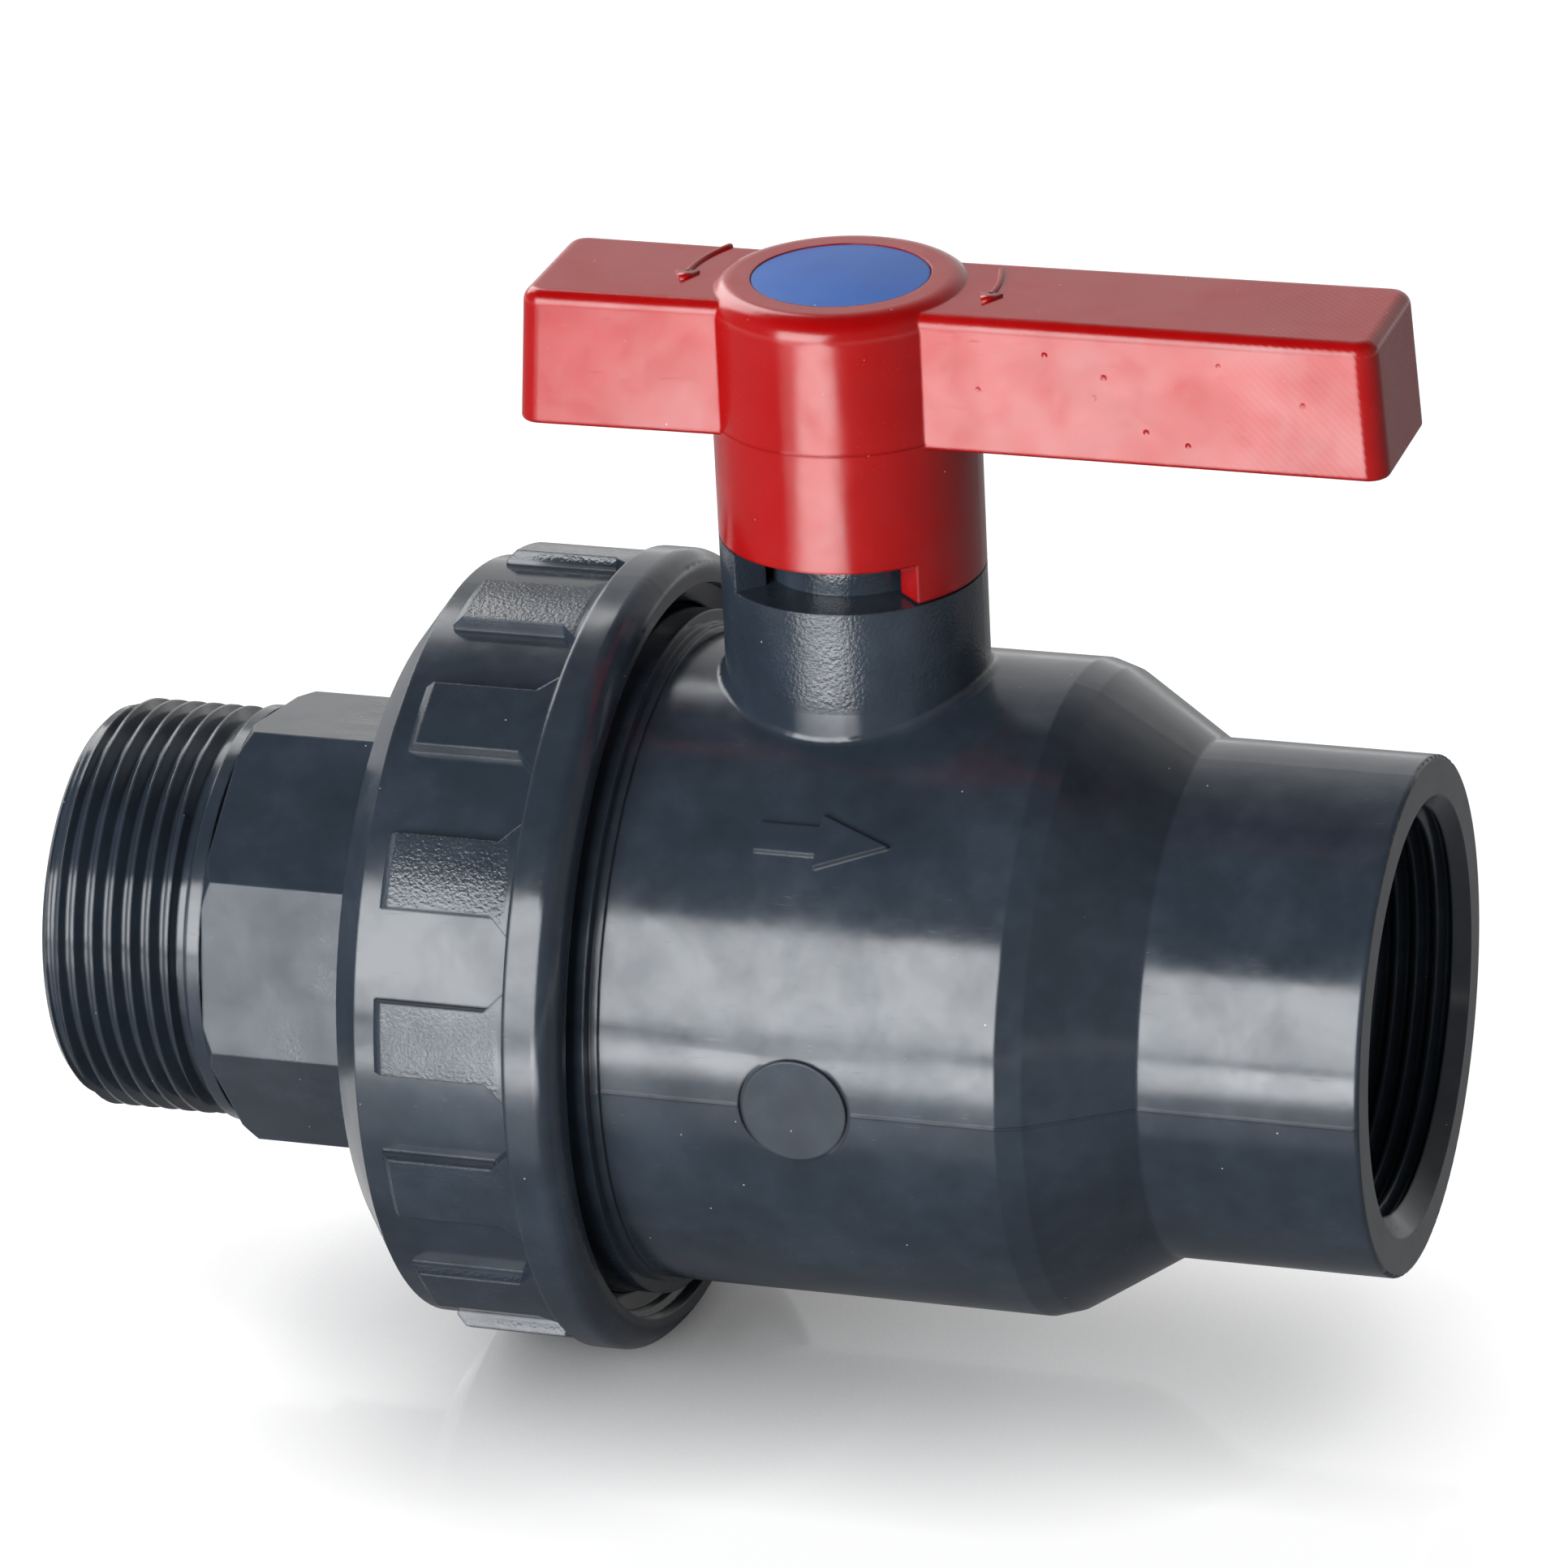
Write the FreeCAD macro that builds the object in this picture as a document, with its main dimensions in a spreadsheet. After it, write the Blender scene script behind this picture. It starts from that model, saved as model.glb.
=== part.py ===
import FreeCAD, Part
import math
import os
import re
import Sketcher

# In-line union ball valve, nominal bore 40 mm, in millimetres.
# The origin is the centre of the ball. +X runs with the flow, from the union
# end to the socket end, and +Z runs up the stem. -Y is the front.

document = FreeCAD.newDocument("union_ball_valve")

# driving dimensions: alias, value in millimetres or degrees, what it is
sizes = [
    # waterway, ball and seats
    ("waterway_radius", 20.0, "bore of the ball, seats and body"),
    ("ball_wall", 8.0, "ball outside its bore"),
    ("ball_gap", 1.6, "ball to the wall of its chamber"),
    ("seat_gap", 0.05, "running fit of ball and seat"),
    ("seat_contact_width", 2.5, "waterway to the ring where ball and seat meet"),
    ("seat_face_width", 5.0, "width of the seat's sloping face"),
    ("seat_rim_width", 1.6, "flat rim outside that face"),
    ("seat_land", 1.65, "thickness of a seat at the waterway"),
    ("close_gap", 0.05, "clearance of pieces that are pressed or screwed together"),
    ("cushion_radius", 0.9, "section of the ring behind a seat"),
    ("cushion_inset", 3.2, "waterway to the centre line of that ring"),
    # pipe thread, 1 1/2 inch: 11 threads an inch
    ("pipe_thread_radius", 23.9, "crest of the male and root of the female pipe thread"),
    ("pipe_thread_pitch", 2.309, "pitch of the pipe thread"),
    ("pipe_thread_depth", 1.479, "depth of the pipe thread"),
    ("pipe_groove_floor", 0.4, "width of the thread groove at its floor"),
    ("pipe_groove_mouth", 1.92, "width of the thread groove at the crests"),
    # end connector, from the face of the body to the left
    ("flange_gap", 0.4, "collar to the face of the body"),
    ("flange_thickness", 6.2, "collar that the nut pulls on"),
    ("flange_inset", 0.6, "collar inside the crests of the nut's thread"),
    ("neck_step", 0.3, "neck outside the corners of the octagon"),
    ("octagon_inset", 2.1, "right face of the octagon to the left face of the nut"),
    ("octagon_length", 19.2, "octagon"),
    ("octagon_step", 0.5, "flats of the octagon outside the thread"),
    ("octagon_turn", 9.6, "angle of a flat above the front"),
    ("octagon_bevel", 1.1, "bevel at the corners of the octagon"),
    ("strip_groove_width", 0.4, "fine groove between octagon and strip"),
    ("strip_groove_depth", 0.6, "fine groove between octagon and strip"),
    ("strip_length", 1.6, "plain strip behind the male thread"),
    ("strip_step", 0.4, "strip outside the thread"),
    ("runout_slope", 1.0, "slope from the strip down to the run-out"),
    ("runout_length", 1.4, "groove where the thread runs out"),
    ("male_thread_length", 13.4, "male thread"),
    ("land_length", 2.8, "plain land before the first crest"),
    ("land_drop", 1.0, "land below the crests"),
    ("lead_in", 0.9, "bevel on the end of the land"),
    ("inlet_bore_inset", 0.8, "the connector's bore inside the waterway"),
    # union nut
    ("nut_running_gap", 0.1, "nut on the neck and the collar"),
    ("nut_floor", 6.0, "left wall of the nut"),
    ("nut_length", 28.7, "nut"),
    ("nut_wall", 2.1, "nut outside its thread"),
    ("nut_cone_drop", 6.0, "cone at the left of the nut"),
    ("nut_cone_length", 4.4, "cone at the left of the nut"),
    ("nut_strip_length", 2.5, "plain strip between cone and lugs"),
    ("lug_length", 15.5, "grip lugs"),
    ("lug_height", 1.7, "grip lugs"),
    ("lug_edge", 0.5, "step at the left end of a lug, below its slope"),
    ("lug_angle", 10.5, "width of a lug, in degrees round the nut"),
    ("lug_flare", 2.3, "slope where a lug widens into the rim"),
    ("lug_turn", 9.7, "angle of the first lug above the front"),
    ("lug_count", 15, "grip lugs"),
    ("rim_height", 0.7, "rim above the lugs"),
    ("rim_length", 4.5, "rim at the right of the nut"),
    ("rim_rounding", 0.5, "left edges of the rim and of the nut"),
    ("face_rounding", 2.2, "right edge of the rim"),
    ("mouth_step", 0.7, "mouth of the nut outside its thread"),
    ("mouth_depth", 1.6, "mouth of the nut"),
    ("mouth_edge", 1.9, "flat ring round the mouth"),
    # union thread, right-handed
    ("union_pitch", 4.0, "pitch of the union thread"),
    ("union_step", 4.0, "crest of the union thread above the barrel"),
    ("union_depth", 1.9, "depth of the union thread"),
    ("union_groove_floor", 1.3, "width of the body's groove at its floor"),
    ("union_groove_mouth", 2.7, "width of the body's groove at the crests"),
    ("union_gap", 0.3, "radial clearance of the union thread"),
    ("union_flank_gap", 0.25, "flank clearance of the union thread"),
    ("union_thread_length", 10.8, "body's union thread"),
    # body
    ("body_reach", 38.4, "centre of the ball to the left face of the body"),
    ("barrel_wall", 5.35, "barrel outside the carrier's bore"),
    ("collar_step", 0.1, "collar below the root of the union thread"),
    ("collar_length", 6.3, "collar behind the union thread"),
    ("bead_height", 0.5, "small step at the left of the barrel"),
    ("bead_length", 1.0, "small step at the left of the barrel"),
    ("barrel_reach", 25.1, "centre of the ball to the end of the barrel"),
    ("shoulder_length", 2.9, "first, gentle slope"),
    ("shoulder_drop", 0.9, "first, gentle slope"),
    ("cone_length", 11.1, "cone between barrel and socket"),
    ("socket_length", 24.9, "threaded socket"),
    ("socket_wall", 5.5, "socket outside the thread"),
    ("socket_thread_length", 18.0, "female thread"),
    ("socket_mouth_step", 1.0, "countersunk mouth outside the thread"),
    ("socket_bore_length", 4.0, "plain bore behind the female thread"),
    ("socket_bore_inset", 0.32, "that bore inside the crests of the thread"),
    ("edge_rounding", 0.5, "outer edges of the body"),
    # parting lines and marks
    ("seam_angle", 0.45, "width of the parting line, in degrees"),
    ("seam_height", 0.1, "height of the parting line"),
    ("disc_place", 2.2, "X of the flat disc on the front"),
    ("disc_radius", 6.0, "flat disc on the front"),
    ("disc_height", 0.15, "flat disc above the barrel"),
    ("disc_ring_width", 0.4, "groove round the disc"),
    ("disc_ring_depth", 0.35, "groove round the disc"),
    ("arrow_turn", 46.6, "angle of the arrow above the front"),
    ("arrow_tail", -4.4, "X of the arrow's tail"),
    ("arrow_shaft_length", 7.1, "shaft of the arrow"),
    ("arrow_head_length", 8.1, "head of the arrow"),
    ("arrow_half_width", 1.7, "half width of the shaft"),
    ("arrow_head_half_width", 3.15, "half width of the head"),
    ("arrow_height", 0.6, "arrow above the barrel"),
    # seat carrier
    ("carrier_wall", 2.4, "carrier outside the ball's chamber"),
    ("carrier_ring_radius", 1.3, "section of the carrier's ring"),
    ("carrier_ring_depth", 14.4, "left face of the body to the carrier's ring"),
    ("face_ring_radius", 1.6, "section of the union's face seal"),
    ("face_ring_inset", 6.2, "waterway to the centre line of the face seal"),
    ("key_width", 5.0, "key slots in the carrier's face"),
    ("key_depth", 3.0, "key slots in the carrier's face"),
    # tower and stops
    ("tower_radius", 14.9, "tower of the body and hub of the handle"),
    ("tower_height", 12.3, "barrel to the floor of the notch"),
    ("stop_height", 4.5, "stop wall above that floor"),
    ("stop_wall", 3.9, "thickness of the stop wall"),
    ("neck_wall", 1.95, "round neck outside the stem"),
    ("foot_rounding", 1.0, "foot of the tower"),
    ("stop_angle", 135.0, "stop wall, in degrees round the tower"),
    ("skirt_angle", 134.5, "skirt of the handle, in degrees"),
    ("skirt_gap", 0.3, "skirt and hub above the tower"),
    # stem
    ("stem_radius", 7.5, "stem"),
    ("stem_gap", 0.05, "running fit of the stem"),
    ("stem_lift", 0.4, "collar of the stem above the ball"),
    ("collar_width", 2.0, "collar outside the stem"),
    ("collar_thickness", 3.0, "collar inside the chamber"),
    ("thrust_ring_thickness", 1.5, "ring between collar and body"),
    ("tang_width", 8.0, "flat tongue in the ball's slot"),
    ("tang_inset", 1.0, "ends of the tongue inside the collar"),
    ("tang_depth", 4.0, "flat tongue below the collar"),
    ("tang_gap", 0.15, "tongue in the slot"),
    ("stem_ring_radius", 0.85, "section of the stem's rings"),
    ("stem_ring_place", 6.0, "thrust ring to the lower ring"),
    ("stem_ring_spacing", 5.0, "lower ring to upper ring"),
    ("drive_width", 10.4, "square end of the stem"),
    ("drive_lift", 2.0, "underside of the hub to the square"),
    # handle, from the underside of the hub up
    ("seam_lift", 13.9, "hub's underside to the fine line round it"),
    ("seam_step", 0.12, "height of that line"),
    ("bar_lift", 13.2, "hub's underside to the underside of the arms"),
    ("bar_height", 15.6, "arms"),
    ("hub_rise", 0.7, "hub above the arms"),
    ("hub_rounding", 2.8, "top edge of the hub"),
    ("short_arm", 34.3, "stem to the end of the short arm, at its top"),
    ("long_arm", 62.3, "stem to the end of the long arm, at its top"),
    ("arm_draft", 1.2, "arms longer at their underside"),
    ("bar_half_width", 9.1, "half width of the arms at the hub"),
    ("bar_widening", 0.5, "arms wider at their ends"),
    ("bar_wall", 2.6, "wall of the arms, hollow underneath"),
    ("bar_corner", 2.4, "upright corners of the arms"),
    ("bar_rounding", 1.5, "top edges of the arms"),
    ("bar_lower_rounding", 0.5, "lower edges of the arms"),
    ("rib_thickness", 2.0, "ribs inside the arms"),
    ("web_thickness", 3.0, "web of the hub that the screw clamps"),
    ("cap_recess", 7.0, "top of the hub down to the floor of the cap's recess"),
    # screw, washer and cap
    ("washer_width", 4.0, "washer outside the screw"),
    ("washer_thickness", 1.2, "washer under the screw head"),
    ("screw_radius", 3.0, "screw"),
    ("screw_length", 14.0, "screw below its head"),
    ("screw_head_width", 2.4, "head outside the screw"),
    ("screw_head_height", 3.0, "screw head"),
    ("screw_edge", 0.5, "bevel of the screw head"),
    ("screw_socket_width", 4.0, "hexagon socket of the screw"),
    ("screw_hole_gap", 0.3, "screw in the web of the hub"),
    ("cap_radius", 9.9, "cap"),
    ("cap_gap", 0.1, "cap in its recess"),
    ("cap_drop", 0.1, "edge of the cap below the top of the hub"),
    ("cap_dome", 0.45, "rise of the cap's middle"),
    ("cap_thickness", 2.0, "cap"),
    ("cap_skirt_length", 5.6, "skirt of the cap"),
    ("cap_skirt_wall", 1.4, "skirt of the cap"),
]

# radii, widths and places that follow from them
places = [
    ("ball_radius", "waterway_radius + ball_wall"),
    ("chamber_radius", "ball_radius + ball_gap"),
    ("contact_radius", "waterway_radius + seat_contact_width"),
    ("contact_x", "sqrt((ball_radius + seat_gap)^2 - contact_radius^2)"),
    ("seat_slope", "contact_radius / contact_x"),
    ("seat_inner_x", "contact_x + seat_slope * seat_contact_width"),
    ("seat_lip_radius", "waterway_radius + seat_face_width"),
    ("seat_lip_x", "contact_x - seat_slope * (seat_face_width - seat_contact_width)"),
    ("seat_back_x", "seat_inner_x + seat_land"),
    ("seat_outer_radius", "seat_lip_radius + seat_rim_width"),
    ("pocket_radius", "seat_outer_radius + close_gap"),
    ("pocket_x", "seat_back_x + close_gap"),
    ("cushion_ring_radius", "waterway_radius + cushion_inset"),
    ("cushion_x", "pocket_x + cushion_radius"),
    ("cushion_floor_x", "pocket_x + 2 * cushion_radius + close_gap"),
    ("cushion_groove_in", "cushion_ring_radius - cushion_radius - close_gap"),
    ("cushion_groove_out", "cushion_ring_radius + cushion_radius + close_gap"),
    ("carrier_radius", "chamber_radius + carrier_wall"),
    ("carrier_bore", "carrier_radius + close_gap"),
    ("carrier_end", "-seat_lip_x"),
    ("barrel_radius", "carrier_bore + barrel_wall"),
    ("union_crest", "barrel_radius + union_step"),
    ("union_root", "union_crest - union_depth"),
    ("collar_radius", "union_root - collar_step"),
    ("union_flank", "(union_groove_mouth - union_groove_floor) / 2 / union_depth"),
    ("nut_thread_in", "union_root + union_gap"),
    ("nut_thread_out", "union_crest + union_gap"),
    ("nut_groove_mouth",
     "union_pitch - union_groove_floor - 2 * union_flank * union_gap + 2 * union_flank_gap"),
    ("nut_groove_floor", "nut_groove_mouth - 2 * union_flank * union_depth"),
    ("body_start", "-body_reach"),
    ("union_end", "body_start + union_thread_length"),
    ("collar_end", "union_end + collar_length"),
    ("bead_end", "collar_end + bead_length"),
    ("bead_radius", "barrel_radius + bead_height"),
    ("shoulder_end", "barrel_reach + shoulder_length"),
    ("shoulder_radius", "barrel_radius - shoulder_drop"),
    ("socket_start", "shoulder_end + cone_length"),
    ("socket_end", "socket_start + socket_length"),
    ("socket_radius", "pipe_thread_radius + socket_wall"),
    ("socket_mouth_radius", "pipe_thread_radius + socket_mouth_step"),
    ("pipe_root", "pipe_thread_radius - pipe_thread_depth"),
    ("pipe_flank", "(pipe_groove_mouth - pipe_groove_floor) / 2 / pipe_thread_depth"),
    ("socket_bore_radius", "pipe_root - socket_bore_inset"),
    ("socket_thread_end", "socket_end - socket_thread_length"),
    ("flange_end", "body_start - flange_gap"),
    ("flange_start", "flange_end - flange_thickness"),
    ("flange_radius", "nut_thread_in - flange_inset"),
    ("nut_shoulder", "flange_start - nut_running_gap"),
    ("nut_start", "nut_shoulder - nut_floor"),
    ("nut_end", "nut_start + nut_length"),
    ("nut_radius", "nut_thread_out + nut_wall"),
    ("lug_start", "nut_start + nut_cone_length + nut_strip_length"),
    ("lug_end", "lug_start + lug_length"),
    ("lug_radius", "nut_radius + lug_height"),
    ("rim_radius", "lug_radius + rim_height"),
    ("rim_end", "lug_end + rim_length"),
    ("mouth_radius", "nut_thread_out + mouth_step"),
    ("octagon_apothem", "pipe_thread_radius + octagon_step"),
    ("octagon_corner", "octagon_apothem / cos(22.5)"),
    ("octagon_end", "nut_start - octagon_inset"),
    ("octagon_start", "octagon_end - octagon_length"),
    ("neck_radius", "octagon_corner + neck_step"),
    ("nut_hole", "neck_radius + nut_running_gap"),
    ("strip_radius", "pipe_thread_radius + strip_step"),
    ("strip_end", "octagon_start - strip_groove_width"),
    ("strip_start", "strip_end - strip_length"),
    ("runout_end", "strip_start - runout_slope"),
    ("thread_end", "runout_end - runout_length"),
    ("land_end", "thread_end - male_thread_length"),
    ("land_radius", "pipe_thread_radius - land_drop"),
    ("inlet_end", "land_end - land_length"),
    ("inlet_bore", "waterway_radius - inlet_bore_inset"),
    ("face_ring_x", "flange_end + close_gap + face_ring_radius"),
    ("face_ring_centre", "waterway_radius + face_ring_inset"),
    ("face_groove_x", "face_ring_x + face_ring_radius + close_gap"),
    ("face_groove_in", "face_ring_centre - face_ring_radius - close_gap"),
    ("face_groove_out", "face_ring_centre + face_ring_radius + close_gap"),
    ("carrier_ring_x", "body_start + carrier_ring_depth"),
    ("carrier_ring_centre", "carrier_bore - carrier_ring_radius"),
    ("carrier_groove_floor", "carrier_bore - 2 * carrier_ring_radius"),
    ("tower_floor", "barrel_radius + tower_height"),
    ("stop_top", "tower_floor + stop_height"),
    ("stop_inner", "tower_radius - stop_wall"),
    ("stem_bore", "stem_radius + stem_gap"),
    ("neck_outer", "stem_bore + neck_wall"),
    ("collar_start", "ball_radius + stem_lift"),
    ("collar_top", "collar_start + collar_thickness"),
    ("stem_collar_radius", "stem_radius + collar_width"),
    ("tang_half_length", "stem_collar_radius - tang_inset"),
    ("thrust_top", "collar_top + thrust_ring_thickness + close_gap"),
    ("tang_floor", "collar_start - tang_depth"),
    ("stem_ring_low", "thrust_top + stem_ring_place"),
    ("stem_ring_high", "stem_ring_low + stem_ring_spacing"),
    ("hub_bottom", "stop_top + skirt_gap"),
    ("drive_start", "hub_bottom + drive_lift"),
    ("bar_bottom", "hub_bottom + bar_lift"),
    ("bar_top", "bar_bottom + bar_height"),
    ("bar_end_half_width", "bar_half_width + bar_widening"),
    ("hub_top", "bar_top + hub_rise"),
    ("hub_seam", "hub_bottom + seam_lift"),
    ("cap_floor", "hub_top - cap_recess"),
    ("drive_top", "cap_floor - web_thickness"),
    ("screw_seat", "cap_floor + washer_thickness"),
    ("screw_top", "screw_seat + screw_head_height"),
    ("screw_head_radius", "screw_radius + screw_head_width"),
    ("cap_edge", "hub_top - cap_drop"),
    ("cap_seat_radius", "cap_radius + cap_gap"),
    ("arrow_neck", "arrow_tail + arrow_shaft_length"),
    ("arrow_tip", "arrow_neck + arrow_head_length"),
    ("socket_mark", "socket_thread_end + pipe_thread_pitch"),
    ("male_mark", "land_end - pipe_thread_pitch"),
    ("union_mark", "body_start - union_pitch / 2"),
]

sizeSheet = document.addObject("Spreadsheet::Sheet", "Sizes")
for row, (alias, value, note) in enumerate(sizes, start=1):
    sizeSheet.set("A%d" % row, alias)
    sizeSheet.set("B%d" % row, str(value))
    sizeSheet.setAlias("B%d" % row, alias)
    sizeSheet.set("C%d" % row, note)

sizeWord = re.compile(r"\b(" + "|".join(alias for alias, value, note in sizes) + r")\b")
placeWord = re.compile(r"\b(" + "|".join(alias for alias, formula in places) + r")\b")


def bound(text):
    """An expression in plain names, as an expression of the document."""
    withSizes = sizeWord.sub(r"Sizes.\1", str(text))
    return placeWord.sub(r"Places.\1", withSizes)


placeSheet = document.addObject("Spreadsheet::Sheet", "Places")
for row, (alias, formula) in enumerate(places, start=1):
    placeSheet.set("A%d" % row, alias)
    placeSheet.setAlias("B%d" % row, alias)
for row, (alias, formula) in enumerate(places, start=1):
    placeSheet.set("B%d" % row, "=" + bound(formula).replace("Places.", ""))
document.recompute()


def size(alias):
    return float(sizeSheet.get(alias))


def place(alias):
    return float(placeSheet.get(alias))


# ---------------------------------------------------------------- sketches and features


def originPlane(body, role):
    return [feature for feature in body.Origin.OriginFeatures if feature.Role == role][0]


def newBody(name):
    body = document.addObject("PartDesign::Body", name)
    body.Label = name
    return body


def newSketch(body, plane, turn=None, shift=None):
    """A sketch on one of the body's own planes, turned about its own X or shifted along its normal."""
    sketch = body.newObject("Sketcher::SketchObject", body.Label + "_sketch")
    sketch.AttachmentSupport = [(originPlane(body, plane), "")]
    sketch.MapMode = "FlatFace"
    if turn is not None:
        quarter = FreeCAD.Rotation(FreeCAD.Vector(1, 0, 0), 90)
        sketch.AttachmentOffset = FreeCAD.Placement(FreeCAD.Vector(), quarter)
        sketch.setExpression("AttachmentOffset.Rotation.Angle", bound(turn))
    if shift is not None:
        sketch.setExpression("AttachmentOffset.Base.z", bound(shift))
    return sketch


def constrain(sketch, kind, geometry, point, start, text):
    """A driving constraint whose value is an expression."""
    if kind == "Radius":
        constraint = Sketcher.Constraint(kind, geometry, start)
    else:
        constraint = Sketcher.Constraint(kind, geometry, point, start)
    number = sketch.addConstraint(constraint)
    sketch.setExpression("Constraints[%d]" % number, bound(text))


def value(sketch, text):
    """What an expression comes to now."""
    return float(sketch.evalExpression(bound(text)))


def addOutline(sketch, points, rounded=None):
    """A closed outline; each corner is a pair of expressions.

    Lines join the corners. From a corner whose number is in rounded, an arc of that radius
    leads to the next one, bulging outwards; such an outline runs anticlockwise.
    """
    rounded = rounded or {}
    count = len(points)
    first = sketch.GeometryCount
    corners = [FreeCAD.Vector(value(sketch, across), value(sketch, up), 0) for across, up in points]
    for index in range(count):
        here = corners[index]
        there = corners[(index + 1) % count]
        if index in rounded:
            radius = value(sketch, rounded[index])
            chord = there - here
            rise = radius - math.sqrt(radius ** 2 - (chord.Length / 2) ** 2)
            outwards = FreeCAD.Vector(chord.y, -chord.x, 0).normalize()
            middle = (here + there) / 2 + outwards * rise
            sketch.addGeometry(Part.Arc(here, middle, there), False)
        else:
            sketch.addGeometry(Part.LineSegment(here, there), False)
    for index in range(count):
        following = first + (index + 1) % count
        sketch.addConstraint(Sketcher.Constraint("Coincident", first + index, 2, following, 1))
    for index, (across, up) in enumerate(points):
        constrain(sketch, "DistanceX", first + index, 1, corners[index].x, across)
        constrain(sketch, "DistanceY", first + index, 1, corners[index].y, up)
    for index, radius in rounded.items():
        constrain(sketch, "Radius", first + index, 0, value(sketch, radius), radius)


def addBox(sketch, left, right, low, high):
    addOutline(sketch, [(left, low), (right, low), (right, high), (left, high)])


def addSquare(sketch, half):
    addBox(sketch, "-(%s)" % half, half, "-(%s)" % half, half)


def addCircle(sketch, across, up, radius):
    centre = FreeCAD.Vector(value(sketch, across), value(sketch, up), 0)
    circle = Part.Circle(centre, FreeCAD.Vector(0, 0, 1), value(sketch, radius))
    number = sketch.addGeometry(circle, False)
    constrain(sketch, "DistanceX", number, 3, centre.x, across)
    constrain(sketch, "DistanceY", number, 3, centre.y, up)
    constrain(sketch, "Radius", number, 0, circle.Radius, radius)


def addTurned(body, kind, sketch, axis="H_Axis", angle="360", both=False, backwards=False):
    """Revolution or Groove of a sketch about its H_Axis or V_Axis."""
    feature = body.newObject("PartDesign::" + kind, body.Label + "_" + kind.lower())
    feature.Profile = sketch
    feature.ReferenceAxis = (sketch, [axis])
    feature.setExpression("Angle", bound(angle))
    feature.Midplane = both
    feature.Reversed = backwards
    return feature


def turned(name, points, axis="H_Axis"):
    """A body that is one turned profile, about X or, with V_Axis, about Z."""
    body = newBody(name)
    sketch = newSketch(body, "XZ_Plane")
    addOutline(sketch, points)
    addTurned(body, "Revolution", sketch, axis)
    return body


def addPad(body, kind, sketch, length, both=False, backwards=False):
    """Pad along the sketch's normal, or Pocket against it, or the other way if backwards."""
    feature = body.newObject("PartDesign::" + kind, body.Label + "_" + kind.lower())
    feature.Profile = sketch
    feature.setExpression("Length", bound(length))
    feature.Midplane = both
    feature.Reversed = backwards
    return feature


def addThread(body, mark, inner, innerWidth, outer, outerWidth, pitch, length):
    """A right-handed thread groove along X that starts at mark; widths are along X."""
    sketch = newSketch(body, "XZ_Plane")
    addOutline(sketch, [
        ("%s - (%s) / 2" % (mark, innerWidth), inner),
        ("%s + (%s) / 2" % (mark, innerWidth), inner),
        ("%s + (%s) / 2" % (mark, outerWidth), outer),
        ("%s - (%s) / 2" % (mark, outerWidth), outer),
    ])
    feature = body.newObject("PartDesign::SubtractiveHelix", body.Label + "_thread")
    feature.Profile = sketch
    feature.ReferenceAxis = (sketch, ["H_Axis"])
    feature.Mode = 0
    feature.setExpression("Pitch", bound(pitch))
    feature.setExpression("Height", bound(length))
    return feature


def roundEdges(feature, axis, along, radius):
    """Names of the round edges at a place along an axis and of a radius."""
    names = []
    for number, edge in enumerate(feature.Shape.Edges, start=1):
        curve = edge.Curve
        if curve.TypeId != "Part::GeomCircle":
            continue
        onPlace = abs(getattr(curve.Center, axis) - along) < 0.01
        if onPlace and abs(curve.Radius - radius) < 0.01:
            names.append("Edge%d" % number)
    return names


def addFillet(body, feature, edges, radius):
    fillet = body.newObject("PartDesign::Fillet", body.Label + "_fillet")
    fillet.Base = (feature, edges)
    fillet.setExpression("Radius", bound(radius))
    return fillet


def ring(name, plane, centre, ringRadius, section):
    """A round-section seal ring whose axis is the normal of plane."""
    body = newBody(name)
    feature = body.newObject("PartDesign::AdditiveTorus", name + "_torus")
    feature.AttachmentSupport = [(originPlane(body, plane), "")]
    feature.MapMode = "FlatFace"
    feature.setExpression("Radius1", bound(ringRadius))
    feature.setExpression("Radius2", bound(section))
    feature.setExpression("AttachmentOffset.Base.z", bound(centre))
    return body


# ---------------------------------------------------------------- seats and ball


def makeSeat(name, sign):
    """A seat ring, downstream of the ball, or upstream with a minus sign."""
    return turned(name, [
        (sign + "seat_inner_x", "waterway_radius"),
        (sign + "seat_back_x", "waterway_radius"),
        (sign + "seat_back_x", "seat_outer_radius"),
        (sign + "seat_lip_x", "seat_outer_radius"),
        (sign + "seat_lip_x", "seat_lip_radius"),
    ])


makeSeat("outlet_seat", "")
makeSeat("inlet_seat", "-")
cushionSection = "cushion_radius - close_gap / 4"
ring("outlet_seat_cushion_ring", "YZ_Plane", "cushion_x", "cushion_ring_radius", cushionSection)
ring("inlet_seat_cushion_ring", "YZ_Plane", "-cushion_x", "cushion_ring_radius", cushionSection)

ball = newBody("ball")
sphere = ball.newObject("PartDesign::AdditiveSphere", "ball_sphere")
sphere.AttachmentSupport = [(originPlane(ball, "XY_Plane"), "")]
sphere.MapMode = "FlatFace"
sphere.setExpression("Radius", bound("ball_radius"))
ballBoreSketch = newSketch(ball, "YZ_Plane")
addCircle(ballBoreSketch, "0", "0", "waterway_radius")
addPad(ball, "Pocket", ballBoreSketch, "2 * ball_radius + 2", both=True)
slotSketch = newSketch(ball, "XZ_Plane")
addBox(slotSketch, "-(tang_width / 2 + tang_gap)", "tang_width / 2 + tang_gap",
       "tang_floor - tang_gap", "ball_radius + 1")
addPad(ball, "Pocket", slotSketch, "2 * ball_radius", both=True)

# ---------------------------------------------------------------- seat carrier and its rings

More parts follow.
